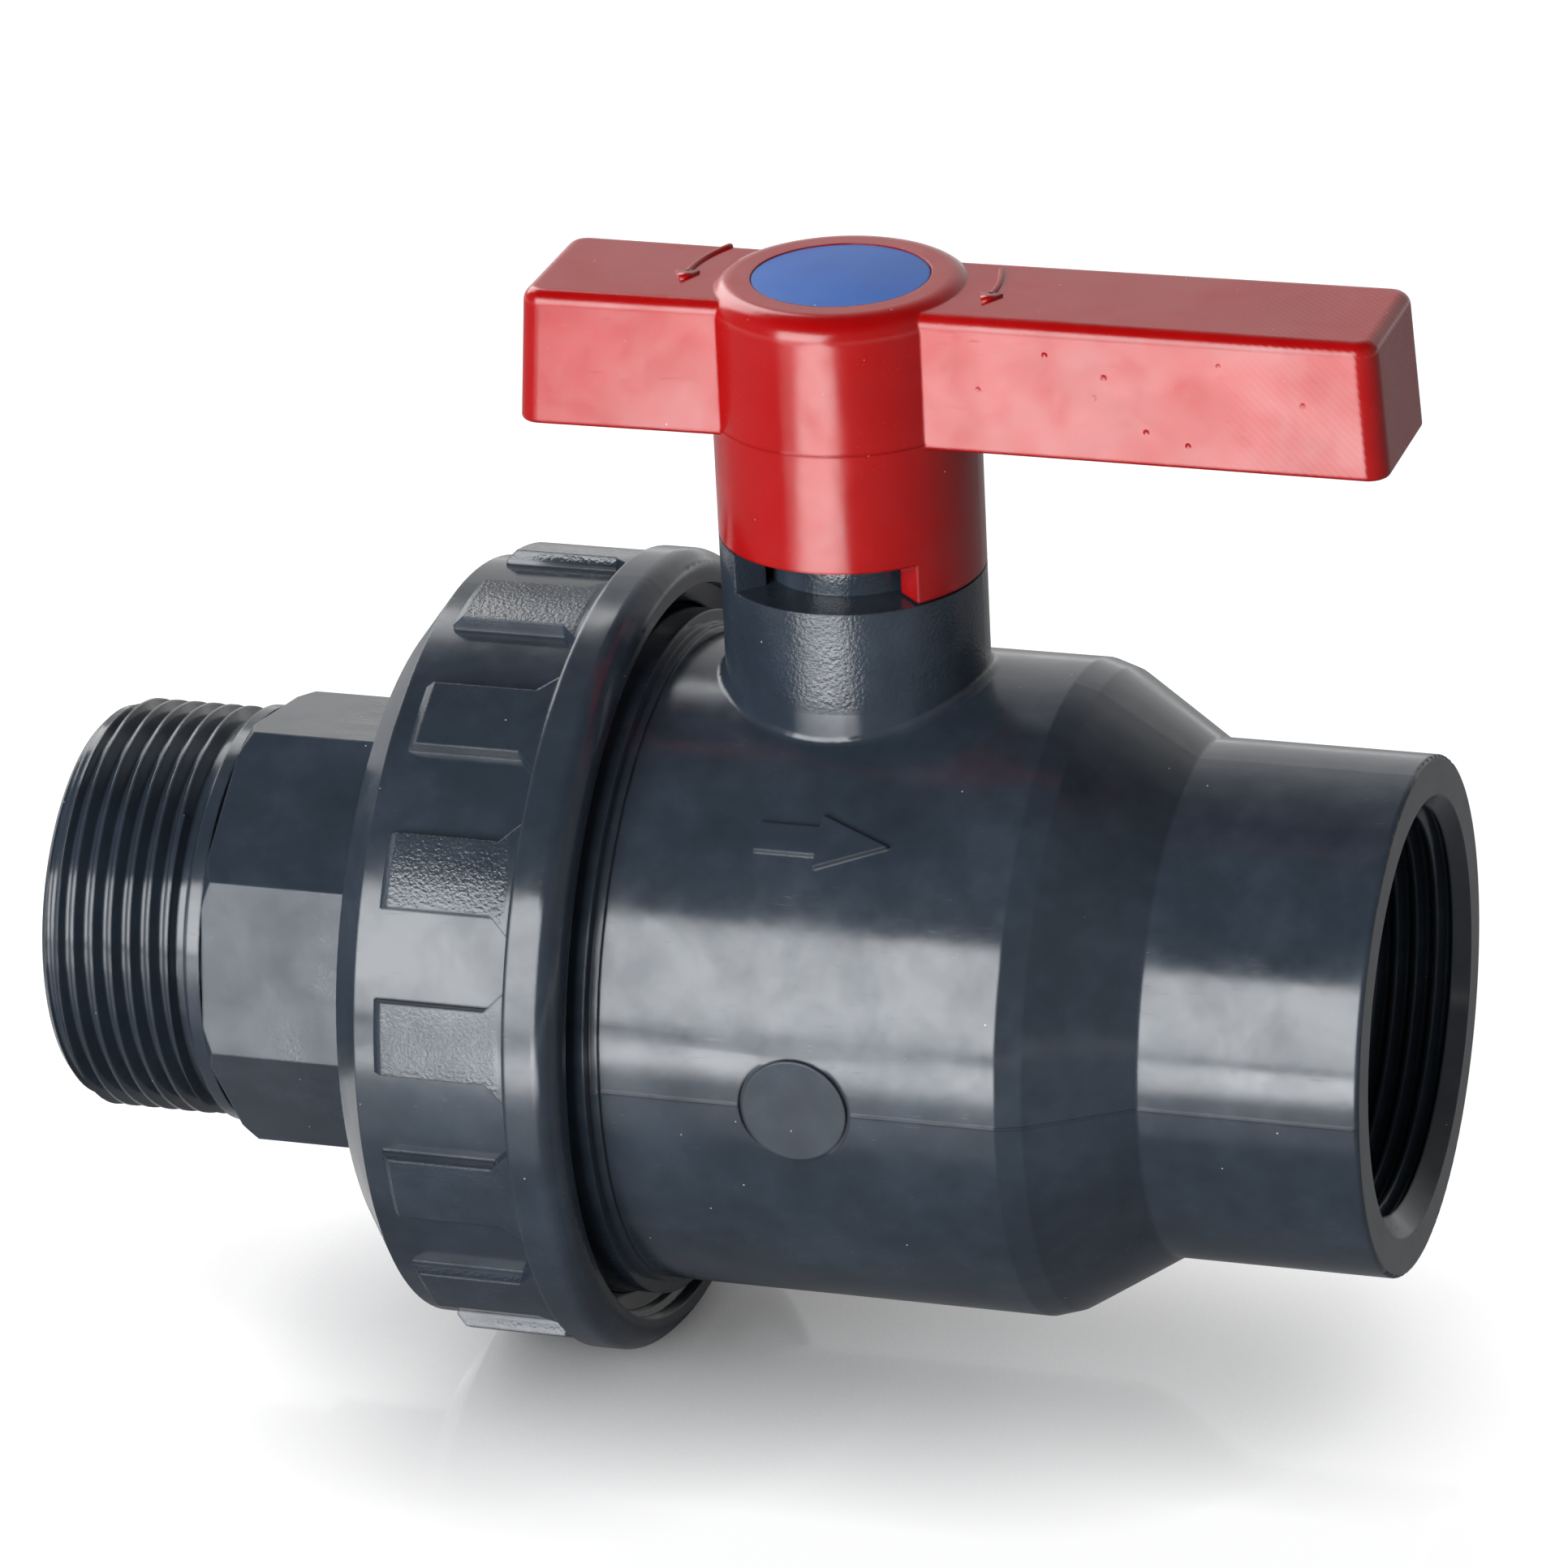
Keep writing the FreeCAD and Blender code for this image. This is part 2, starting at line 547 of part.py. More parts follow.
seatCarrier = turned("seat_carrier", [
    ("body_start", "waterway_radius"),
    ("body_start", "face_groove_in"),
    ("face_groove_x", "face_groove_in"),
    ("face_groove_x", "face_groove_out"),
    ("body_start", "face_groove_out"),
    ("body_start", "carrier_radius"),
    ("carrier_ring_x - carrier_ring_radius - close_gap", "carrier_radius"),
    ("carrier_ring_x - carrier_ring_radius - close_gap", "carrier_groove_floor"),
    ("carrier_ring_x + carrier_ring_radius + close_gap", "carrier_groove_floor"),
    ("carrier_ring_x + carrier_ring_radius + close_gap", "carrier_radius"),
    ("carrier_end", "carrier_radius"),
    ("carrier_end", "pocket_radius"),
    ("-pocket_x", "pocket_radius"),
    ("-pocket_x", "cushion_groove_out"),
    ("-cushion_floor_x", "cushion_groove_out"),
    ("-cushion_floor_x", "cushion_groove_in"),
    ("-pocket_x", "cushion_groove_in"),
    ("-pocket_x", "waterway_radius"),
])
keySketch = newSketch(seatCarrier, "YZ_Plane", shift="body_start")
keyRoot = "face_groove_out + close_gap + face_ring_radius / 2"
addBox(keySketch, keyRoot, "carrier_radius + 1", "-key_width / 2", "key_width / 2")
addBox(keySketch, "-carrier_radius - 1", "-(%s)" % keyRoot, "-key_width / 2", "key_width / 2")
addPad(seatCarrier, "Pocket", keySketch, "key_depth", backwards=True)
ring("carrier_o_ring", "YZ_Plane", "carrier_ring_x", "carrier_ring_centre",
     "carrier_ring_radius - close_gap / 4")
ring("face_seal_o_ring", "YZ_Plane", "face_ring_x", "face_ring_centre", "face_ring_radius")

# ---------------------------------------------------------------- end connector

connector = turned("end_connector", [
    ("inlet_end", "inlet_bore"),
    ("inlet_end", "land_radius - lead_in"),
    ("inlet_end + lead_in", "land_radius"),
    ("land_end - land_drop", "land_radius"),
    ("land_end", "pipe_thread_radius"),
    ("thread_end", "pipe_thread_radius"),
    ("thread_end + runout_length / 3", "pipe_root"),
    ("runout_end", "pipe_root"),
    ("strip_start", "strip_radius"),
    ("strip_end", "strip_radius"),
    ("strip_end", "strip_radius - strip_groove_depth"),
    ("octagon_start + 1", "strip_radius - strip_groove_depth"),
    ("octagon_end - 1", "strip_radius - strip_groove_depth"),
    ("octagon_end", "neck_radius"),
    ("flange_start", "neck_radius"),
    ("flange_start", "flange_radius"),
    ("flange_end", "flange_radius"),
    ("flange_end", "waterway_radius"),
    ("flange_end - inlet_bore_inset", "waterway_radius"),
    ("flange_end - 4 * inlet_bore_inset", "inlet_bore"),
])
octagonSketch = newSketch(connector, "YZ_Plane", shift="octagon_start")
corners = []
for corner in range(8):
    turn = "(octagon_turn + %s)" % (22.5 + 45 * corner)
    corners.append(("-octagon_corner * cos" + turn, "octagon_corner * sin" + turn))
addOutline(octagonSketch, corners)
addCircle(octagonSketch, "0", "0", "strip_radius - strip_groove_depth - 1")
addPad(connector, "Pad", octagonSketch, "octagon_length")
bevelSketch = newSketch(connector, "XZ_Plane")
addOutline(bevelSketch, [
    ("octagon_start - close_gap", "octagon_corner - octagon_bevel"),
    ("octagon_start + octagon_bevel", "octagon_corner"),
    ("octagon_start + octagon_bevel", "octagon_corner + octagon_bevel"),
    ("octagon_start - close_gap", "octagon_corner + octagon_bevel"),
])
addTurned(connector, "Groove", bevelSketch)
addThread(
    connector, "male_mark", "pipe_root", "pipe_groove_floor",
    "pipe_thread_radius + strip_step / 2", "pipe_groove_mouth + pipe_flank * strip_step",
    "pipe_thread_pitch", "thread_end + runout_length / 2 - male_mark",
)

# ---------------------------------------------------------------- union nut

nut = newBody("union_nut")
nutSketch = newSketch(nut, "XZ_Plane")
addOutline(nutSketch, [
    ("nut_start", "0"),
    ("nut_start", "nut_radius - nut_cone_drop"),
    ("nut_start + nut_cone_length", "nut_radius"),
    ("lug_end", "nut_radius"),
    ("lug_end", "rim_radius"),
    ("rim_end", "rim_radius"),
    ("nut_end", "mouth_radius + mouth_edge"),
    ("nut_end", "0"),
])
addTurned(nut, "Revolution", nutSketch)
lugSketch = newSketch(nut, "XZ_Plane", turn="-lug_turn")
lugHalf = "lug_radius * tan(lug_angle / 2)"
addOutline(lugSketch, [
    ("lug_start", "-" + lugHalf),
    ("lug_end - lug_flare", "-" + lugHalf),
    ("lug_end + rim_rounding", "-" + lugHalf + " - lug_flare - rim_rounding"),
    ("lug_end + rim_rounding", lugHalf + " + lug_flare + rim_rounding"),
    ("lug_end - lug_flare", lugHalf),
    ("lug_start", lugHalf),
])
lug = addPad(nut, "Pad", lugSketch, "rim_radius")
document.recompute()
lugs = nut.newObject("PartDesign::PolarPattern", "union_nut_lugs")
lugs.Originals = [lug]
lugs.Axis = (nutSketch, ["H_Axis"])
lugs.Angle = 360
lugs.setExpression("Occurrences", bound("round(lug_count)"))
nut.Tip = lugs
trimSketch = newSketch(nut, "XZ_Plane")
addOutline(trimSketch, [
    ("lug_start - nut_strip_length / 2", "nut_radius + lug_edge"),
    ("lug_start", "nut_radius + lug_edge"),
    ("lug_start + lug_height - lug_edge", "lug_radius"),
    ("lug_end", "lug_radius"),
    ("lug_end", "rim_radius"),
    ("lug_end + 2 * rim_rounding", "rim_radius"),
    ("lug_end + 2 * rim_rounding", "rim_radius + lug_height"),
    ("lug_start - nut_strip_length / 2", "rim_radius + lug_height"),
])
trimmed = addTurned(nut, "Groove", trimSketch)
document.recompute()
rimEdges = roundEdges(trimmed, "x", place("lug_end"), place("rim_radius"))
rimEdges += roundEdges(trimmed, "x", place("nut_start"), place("nut_radius") - size("nut_cone_drop"))
rim = addFillet(nut, trimmed, rimEdges, "rim_rounding")
document.recompute()
faceEdges = roundEdges(rim, "x", place("rim_end"), place("rim_radius"))
faceEdges += roundEdges(rim, "x", place("nut_end"), place("mouth_radius") + size("mouth_edge"))
addFillet(nut, rim, faceEdges, "face_rounding")
nutBoreSketch = newSketch(nut, "XZ_Plane")
addOutline(nutBoreSketch, [
    ("nut_start - 1", "0"),
    ("nut_start - 1", "nut_hole"),
    ("nut_shoulder", "nut_hole"),
    ("nut_shoulder", "nut_thread_out"),
    ("flange_end - 1", "nut_thread_out"),
    ("flange_end - 1", "nut_thread_in"),
    ("nut_end - mouth_depth - (mouth_radius - nut_thread_in) / 2", "nut_thread_in"),
    ("nut_end - mouth_depth", "mouth_radius"),
    ("nut_end + 1", "mouth_radius"),
    ("nut_end + 1", "0"),
])
addTurned(nut, "Groove", nutBoreSketch)
addThread(
    nut, "body_start", "nut_thread_in - union_gap", "nut_groove_mouth + 2 * union_flank * union_gap",
    "nut_thread_out", "nut_groove_floor", "union_pitch", "nut_end - body_start + union_pitch",
)

# ---------------------------------------------------------------- body, outside

body = newBody("valve_body")
bodySketch = newSketch(body, "XZ_Plane")
outside = [
    ("body_start", "collar_radius"),
    ("body_start + union_depth", "union_crest"),
    ("union_end", "union_crest"),
    ("union_end + union_depth", "collar_radius"),
    ("collar_end", "collar_radius"),
    ("collar_end", "bead_radius"),
    ("bead_end", "bead_radius"),
    ("bead_end", "barrel_radius"),
    ("barrel_reach", "barrel_radius"),
    ("shoulder_end", "shoulder_radius"),
    ("socket_start", "socket_radius"),
    ("socket_end", "socket_radius"),
]
addOutline(bodySketch, [("body_start", "0")] + outside + [("socket_end", "0")])
bodySolid = addTurned(body, "Revolution", bodySketch)
document.recompute()
bodyEdges = roundEdges(bodySolid, "x", size("barrel_reach"), place("barrel_radius"))
bodyEdges += roundEdges(bodySolid, "x", place("shoulder_end"), place("shoulder_radius"))
bodyEdges += roundEdges(bodySolid, "x", place("socket_start"), place("socket_radius"))
bodyEdges += roundEdges(bodySolid, "x", place("socket_end"), place("socket_radius"))
addFillet(body, bodySolid, bodyEdges, "edge_rounding")

towerSketch = newSketch(body, "XY_Plane", shift="chamber_radius")
addCircle(towerSketch, "0", "0", "tower_radius")
tower = addPad(body, "Pad", towerSketch, "tower_floor - chamber_radius")
document.recompute()
footEdges = []
for number, edge in enumerate(tower.Shape.Edges, start=1):
    first, last = edge.ParameterRange
    point = edge.valueAt(first + 0.37 * (last - first))
    onTower = abs(math.hypot(point.x, point.y) - size("tower_radius")) < 0.02
    onBarrel = abs(math.hypot(point.y, point.z) - place("barrel_radius")) < 0.02
    if onTower and onBarrel:
        footEdges.append("Edge%d" % number)
addFillet(body, tower, footEdges, "foot_rounding")

stopSketch = newSketch(body, "YZ_Plane")
addBox(stopSketch, "stop_inner", "tower_radius", "tower_floor - skirt_gap", "stop_top")
addTurned(body, "Revolution", stopSketch, "V_Axis", "stop_angle")
neckSketch = newSketch(body, "XZ_Plane")
addBox(neckSketch, "0", "neck_outer", "tower_floor - skirt_gap", "stop_top")
addTurned(body, "Revolution", neckSketch, "V_Axis")

# parting lines: the outside, a little proud, turned by a small angle at the front and the back
seamTop = [(across, up + " + seam_height") for across, up in outside[5:-1]]
seamOutline = [("collar_end", "barrel_radius - bead_height")] + seamTop + [
    ("socket_end - edge_rounding", "socket_radius + seam_height"),
    ("socket_end - edge_rounding", "socket_radius - bead_height"),
    ("socket_start", "socket_radius - bead_height"),
    ("barrel_reach", "barrel_radius - shoulder_drop - bead_height"),
]
for sign in ("-", ""):
    seamSketch = newSketch(body, "XY_Plane")
    addOutline(seamSketch, [(across, sign + "(" + up + ")") for across, up in seamOutline])
    addTurned(body, "Revolution", seamSketch, angle="seam_angle", both=True)

discSketch = newSketch(body, "XZ_Plane", shift="barrel_radius - 2 * disc_ring_depth")
addCircle(discSketch, "disc_place", "0", "disc_radius")
addPad(body, "Pad", discSketch, "2 * disc_ring_depth + disc_height")
discRingSketch = newSketch(body, "XZ_Plane", shift="barrel_radius - disc_ring_depth")
addCircle(discRingSketch, "disc_place", "0", "disc_radius + disc_ring_width")
addCircle(discRingSketch, "disc_place", "0", "disc_radius")
addPad(body, "Pocket", discRingSketch, "2 * disc_ring_depth", backwards=True)

arrowSketch = newSketch(body, "XZ_Plane", turn="-arrow_turn")
addOutline(arrowSketch, [
    ("arrow_tail", "-arrow_half_width"),
    ("arrow_neck", "-arrow_half_width"),
    ("arrow_neck", "-arrow_head_half_width"),
    ("arrow_tip", "0"),
    ("arrow_neck", "arrow_head_half_width"),
    ("arrow_neck", "arrow_half_width"),
    ("arrow_tail", "arrow_half_width"),
])
addPad(body, "Pad", arrowSketch, "barrel_radius + arrow_height")

# ---------------------------------------------------------------- body, inside

insideSketch = newSketch(body, "XZ_Plane")
addOutline(insideSketch, [
    ("body_start - 1", "0"),
    ("body_start - 1", "carrier_bore"),
    ("carrier_end + close_gap", "carrier_bore"),
    ("carrier_end + close_gap", "chamber_radius"),
    ("seat_lip_x - close_gap", "chamber_radius"),
    ("seat_lip_x - close_gap + chamber_radius - pocket_radius", "pocket_radius"),
    ("pocket_x", "pocket_radius"),
    ("pocket_x", "cushion_groove_out"),
    ("cushion_floor_x", "cushion_groove_out"),
    ("cushion_floor_x", "cushion_groove_in"),
    ("pocket_x", "cushion_groove_in"),
    ("pocket_x", "waterway_radius"),
    ("socket_thread_end - socket_bore_length", "waterway_radius"),
    ("socket_thread_end - socket_bore_length", "socket_bore_radius"),
    ("socket_thread_end", "socket_bore_radius"),
    ("socket_thread_end", "pipe_root"),
    ("socket_end - (socket_mouth_radius - pipe_root)", "pipe_root"),
    ("socket_end", "socket_mouth_radius"),
    ("socket_end + 1", "socket_mouth_radius"),
    ("socket_end + 1", "0"),
])
addTurned(body, "Groove", insideSketch)
stemBoreSketch = newSketch(body, "XZ_Plane")
addOutline(stemBoreSketch, [
    ("0", "ball_radius / 2"),
    ("stem_collar_radius", "ball_radius / 2"),
    ("stem_collar_radius", "thrust_top"),
    ("stem_bore", "thrust_top"),
    ("stem_bore", "stop_top + 1"),
    ("0", "stop_top + 1"),
])
addTurned(body, "Groove", stemBoreSketch, "V_Axis")
addThread(
    body, "socket_mark", "pipe_root - skirt_gap", "pipe_groove_mouth + 2 * pipe_flank * skirt_gap",
    "pipe_thread_radius", "pipe_groove_floor", "pipe_thread_pitch", "socket_thread_length",
)
addThread(
    body, "union_mark", "union_root", "union_groove_floor",
    "union_crest + union_gap", "union_groove_mouth + 2 * union_flank * union_gap",
    "union_pitch", "union_thread_length + union_pitch",
)

# ---------------------------------------------------------------- stem and its rings

stemOutline = [
    ("0", "collar_start"),
    ("stem_collar_radius - close_gap", "collar_start"),
    ("stem_collar_radius - close_gap", "collar_top"),
    ("stem_radius", "collar_top"),
]
for level in ("stem_ring_low", "stem_ring_high"):
    stemOutline += [
        ("stem_radius", level + " - stem_ring_radius - close_gap"),
        ("stem_radius - 2 * stem_ring_radius", level + " - stem_ring_radius - close_gap"),
        ("stem_radius - 2 * stem_ring_radius", level + " + stem_ring_radius + close_gap"),
        ("stem_radius", level + " + stem_ring_radius + close_gap"),
    ]
stemOutline += [("stem_radius", "drive_start"), ("0", "drive_start")]
stem = turned("stem", stemOutline, "V_Axis")
tangSketch = newSketch(stem, "XY_Plane", shift="tang_floor")
addBox(tangSketch, "-tang_width / 2", "tang_width / 2", "-tang_half_length", "tang_half_length")
addPad(stem, "Pad", tangSketch, "tang_depth + collar_thickness / 2")
driveSketch = newSketch(stem, "XY_Plane", shift="drive_start")
addSquare(driveSketch, "drive_width / 2")
addPad(stem, "Pad", driveSketch, "drive_top - drive_start")
screwHoleSketch = newSketch(stem, "XY_Plane", shift="drive_top")
addCircle(screwHoleSketch, "0", "0", "screw_radius + close_gap")
addPad(stem, "Pocket", screwHoleSketch, "screw_length - web_thickness")
turned("stem_thrust_ring", [
    ("stem_bore", "collar_top + close_gap / 2"),
    ("stem_collar_radius - close_gap", "collar_top + close_gap / 2"),
    ("stem_collar_radius - close_gap", "thrust_top - close_gap / 2"),
    ("stem_bore", "thrust_top - close_gap / 2"),
], "V_Axis")
for name, level in (("stem_o_ring_lower", "stem_ring_low"), ("stem_o_ring_upper", "stem_ring_high")):
    ring(name, "XY_Plane", level, "stem_radius - stem_ring_radius", "stem_ring_radius - close_gap / 4")

# ---------------------------------------------------------------- handle

handle = newBody("handle")
barSketch = newSketch(handle, "XZ_Plane")
addOutline(barSketch, [
    ("-short_arm - arm_draft", "bar_bottom"),
    ("long_arm + arm_draft", "bar_bottom"),
    ("long_arm", "bar_top"),
    ("-short_arm", "bar_top"),
])
addPad(handle, "Pad", barSketch, "2 * bar_end_half_width + 2 * bar_widening", both=True)
waistSketch = newSketch(handle, "XY_Plane", shift="bar_bottom")
for sign in ("-", ""):
    beyond = sign + "(bar_end_half_width + 2 * bar_widening)"
    addOutline(waistSketch, [
        ("-short_arm - 2 * arm_draft", sign + "bar_end_half_width"),
        ("0", sign + "bar_half_width"),
        ("long_arm + 2 * arm_draft", sign + "bar_end_half_width"),
        ("long_arm + 2 * arm_draft", beyond),
        ("-short_arm - 2 * arm_draft", beyond),
    ])
bar = addPad(handle, "Pocket", waistSketch, "bar_height", backwards=True)
document.recompute()
uprights = []
for number, edge in enumerate(bar.Shape.Edges, start=1):
    low, high = [vertex.Point for vertex in edge.Vertexes]
    if abs(low.z - high.z) > 1 and abs(low.x) > 1:
        uprights.append("Edge%d" % number)
barCorners = addFillet(handle, bar, uprights, "bar_corner")


def levelEdges(feature, level):
    """Names of the edges that lie at one height."""
    names = []
    for number, edge in enumerate(feature.Shape.Edges, start=1):
        if all(abs(vertex.Point.z - level) < 0.01 for vertex in edge.Vertexes):
            names.append("Edge%d" % number)
    return names


document.recompute()
barTop = addFillet(handle, barCorners, levelEdges(barCorners, place("bar_top")), "bar_rounding")
document.recompute()
addFillet(handle, barTop, levelEdges(barTop, place("bar_bottom")), "bar_lower_rounding")
hubSketch = newSketch(handle, "XZ_Plane")
addOutline(hubSketch, [
    ("0", "hub_bottom"),
    ("tower_radius", "hub_bottom"),
    ("tower_radius", "hub_seam - seam_step"),
    ("tower_radius + seam_step", "hub_seam"),
    ("tower_radius", "hub_seam + seam_step"),
    ("tower_radius", "hub_top - hub_rounding"),
    ("tower_radius - hub_rounding", "hub_top"),
    ("0", "hub_top"),
], {5: "hub_rounding"})
addTurned(handle, "Revolution", hubSketch, "V_Axis")
skirtSketch = newSketch(handle, "YZ_Plane")
addBox(skirtSketch, "stop_inner", "tower_radius", "tower_floor + skirt_gap", "hub_bottom + skirt_gap")
addTurned(handle, "Revolution", skirtSketch, "V_Axis", "skirt_angle", backwards=True)

# hollow underside of the two arms, with cross ribs left standing
armRoot = "(tower_radius - bar_wall)"
armHalf = "(bar_half_width - bar_wall)"
hollowSketch = newSketch(handle, "XY_Plane", shift="bar_bottom")
longArmCellCount = 3
shortArmCellCount = 2
armCells = (("long_arm", "", longArmCellCount), ("short_arm", "-", shortArmCellCount))
for arm, sign, cellCount in armCells:
    ribCount = cellCount - 1
    cell = "((%s - bar_wall - %s - %d * rib_thickness) / %d)" % (arm, armRoot, ribCount, cellCount)
    for index in range(cellCount):
        near = "(%s + %d * (%s + rib_thickness))" % (armRoot, index, cell)
        far = "(%s + %s)" % (near, cell)
        addBox(hollowSketch, sign + near, sign + far, "-" + armHalf, armHalf)
addPad(handle, "Pocket", hollowSketch, "bar_height - bar_wall", backwards=True)

stemHoleSketch = newSketch(handle, "XZ_Plane")
addBox(stemHoleSketch, "0", "stem_bore", "hub_bottom - 1", "drive_start + close_gap")
addTurned(handle, "Groove", stemHoleSketch, "V_Axis")
driveHoleSketch = newSketch(handle, "XY_Plane", shift="drive_start")
addSquare(driveHoleSketch, "drive_width / 2 + close_gap")
addPad(handle, "Pocket", driveHoleSketch, "drive_top + close_gap - drive_start", backwards=True)
capSeatSketch = newSketch(handle, "XZ_Plane")
addOutline(capSeatSketch, [
    ("0", "drive_top"),
    ("screw_radius + screw_hole_gap", "drive_top"),
    ("screw_radius + screw_hole_gap", "cap_floor"),
    ("cap_seat_radius", "cap_floor"),
    ("cap_seat_radius", "hub_top + 1"),
    ("0", "hub_top + 1"),
])
addTurned(handle, "Groove", capSeatSketch, "V_Axis")

# ---------------------------------------------------------------- washer, screw and cap

turned("handle_washer", [
    ("screw_radius + close_gap", "cap_floor"),
    ("screw_radius + washer_width", "cap_floor"),
    ("screw_radius + washer_width", "screw_seat"),
    ("screw_radius + close_gap", "screw_seat"),
], "V_Axis")
screw = turned("handle_screw", [
    ("0", "screw_seat - screw_length"),
    ("screw_radius", "screw_seat - screw_length"),
    ("screw_radius", "screw_seat"),
    ("screw_head_radius", "screw_seat"),
    ("screw_head_radius", "screw_top - screw_edge"),
    ("screw_head_radius - screw_edge", "screw_top"),
    ("0", "screw_top"),
], "V_Axis")
socketSketch = newSketch(screw, "XY_Plane", shift="screw_top")
addOutline(socketSketch, [
    ("screw_socket_width / 2 / cos(30) * cos(%d)" % turn, "screw_socket_width / 2 / cos(30) * sin(%d)" % turn)
    for turn in range(0, 360, 60)
])
addPad(screw, "Pocket", socketSketch, "screw_head_height / 2")
cap = turned("indicator_cap", [
    ("0", "cap_edge - cap_thickness"),
    ("cap_radius - cap_skirt_wall", "cap_edge - cap_thickness"),
    ("cap_radius - cap_skirt_wall", "cap_edge - cap_skirt_length"),
    ("cap_radius", "cap_edge - cap_skirt_length"),
    ("cap_radius", "cap_edge"),
    ("0", "cap_edge"),
], "V_Axis")
domeSketch = newSketch(cap, "XZ_Plane")
addOutline(domeSketch, [
    ("0", "cap_edge"),
    ("cap_radius", "cap_edge"),
    ("0", "cap_edge + cap_dome"),
], {1: "(cap_radius^2 + cap_dome^2) / (2 * cap_dome)"})
addTurned(cap, "Revolution", domeSketch, "V_Axis")

# ---------------------------------------------------------------- check and write

document.recompute()
for item in document.Objects:
    if "Invalid" in item.State or "Error" in item.State:
        raise RuntimeError("not built: %s of %s, %s" % (item.Name, item.Label, item.State))
subparts = [item for item in document.Objects if item.TypeId == "PartDesign::Body"]
for item in subparts:
    if item.Shape.isNull() or not item.Shape.isValid():
        raise RuntimeError("no valid shape: " + item.Label)
    print("%-26s %d solid %10.1f mm3" % (item.Label, len(item.Shape.Solids), item.Shape.Volume))
os.makedirs("parts", exist_ok=True)
for item in subparts:
    item.Shape.exportStep("parts/%s.step" % item.Label)
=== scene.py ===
import math

import bmesh
import bpy
from mathutils import Matrix, Vector


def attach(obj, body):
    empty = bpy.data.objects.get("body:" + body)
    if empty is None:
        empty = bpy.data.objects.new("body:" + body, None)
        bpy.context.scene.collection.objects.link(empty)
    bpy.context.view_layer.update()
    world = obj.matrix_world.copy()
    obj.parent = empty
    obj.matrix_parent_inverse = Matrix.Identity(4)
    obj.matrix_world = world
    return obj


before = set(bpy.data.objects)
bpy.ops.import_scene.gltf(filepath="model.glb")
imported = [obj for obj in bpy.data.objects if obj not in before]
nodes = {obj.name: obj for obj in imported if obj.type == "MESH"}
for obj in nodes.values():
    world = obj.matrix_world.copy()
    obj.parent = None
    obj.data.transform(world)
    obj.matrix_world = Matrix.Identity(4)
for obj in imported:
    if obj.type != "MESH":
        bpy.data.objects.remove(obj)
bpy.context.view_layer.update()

# Union ball valve of moulded plastic on a pale table, front at -Y, metres throughout.

millimetre = 0.001


def toLinear(hexColour):
    # sRGB as written in a hex value, turned to the linear values that a node takes
    values = []
    for start in (1, 3, 5):
        part = int(hexColour[start:start + 2], 16) / 255
        values.append(part / 12.92 if part <= 0.04045 else ((part + 0.055) / 1.055) ** 2.4)
    return (values[0], values[1], values[2], 1.0)


def addNode(tree, kind, settings=None, links=None):
    # settings are attributes or input values, links lead from a node or from one of its sockets
    node = tree.nodes.new("ShaderNode" + kind)
    for key, value in (settings or {}).items():
        if isinstance(key, int) or key in node.inputs:
            node.inputs[key].default_value = value
        else:
            setattr(node, key, value)
    for key, source in (links or {}).items():
        socket = source.outputs[0] if isinstance(source, bpy.types.Node) else source
        tree.links.new(socket, node.inputs[key])
    return node


def startMaterial(name):
    material = bpy.data.materials.new(name)
    material.use_nodes = True
    tree = material.node_tree
    tree.nodes.clear()
    place = addNode(tree, "TexCoord").outputs["Object"]
    return material, tree, place


def noiseScale(size):
    # noise and cell texture scale for a size in mm
    return 1 / (size * millimetre)


bandRate = 20                   # radians a unit, in the wave texture's bands and rings
diagonalRate = 10               # and in its diagonal bands


def bandScale(spacing, rate=bandRate):
    # wave texture scale for a spacing in mm
    return 2 * math.pi / rate / (spacing * millimetre)


def between(tree, socket, low, high, soft):
    # 1 between two values in mm, with soft ends
    lowest = low * millimetre
    highest = high * millimetre
    fade = soft * millimetre
    up = addNode(tree, "MapRange", {"From Min": lowest - fade, "From Max": lowest + fade},
                 {"Value": socket})
    down = addNode(tree, "MapRange", {"From Min": highest + fade, "From Max": highest - fade},
                   {"Value": socket})
    return addNode(tree, "Math", {"operation": "MULTIPLY"}, {0: up, 1: down})


def radiusAbout(tree, parts, axis):
    # distance from the X or the Z axis
    first, second = {"X": ("Y", "Z"), "Z": ("X", "Y")}[axis]
    flat = addNode(tree, "CombineXYZ", links={"X": parts.outputs[first], "Y": parts.outputs[second]})
    return addNode(tree, "VectorMath", {"operation": "LENGTH"}, {0: flat}).outputs["Value"]


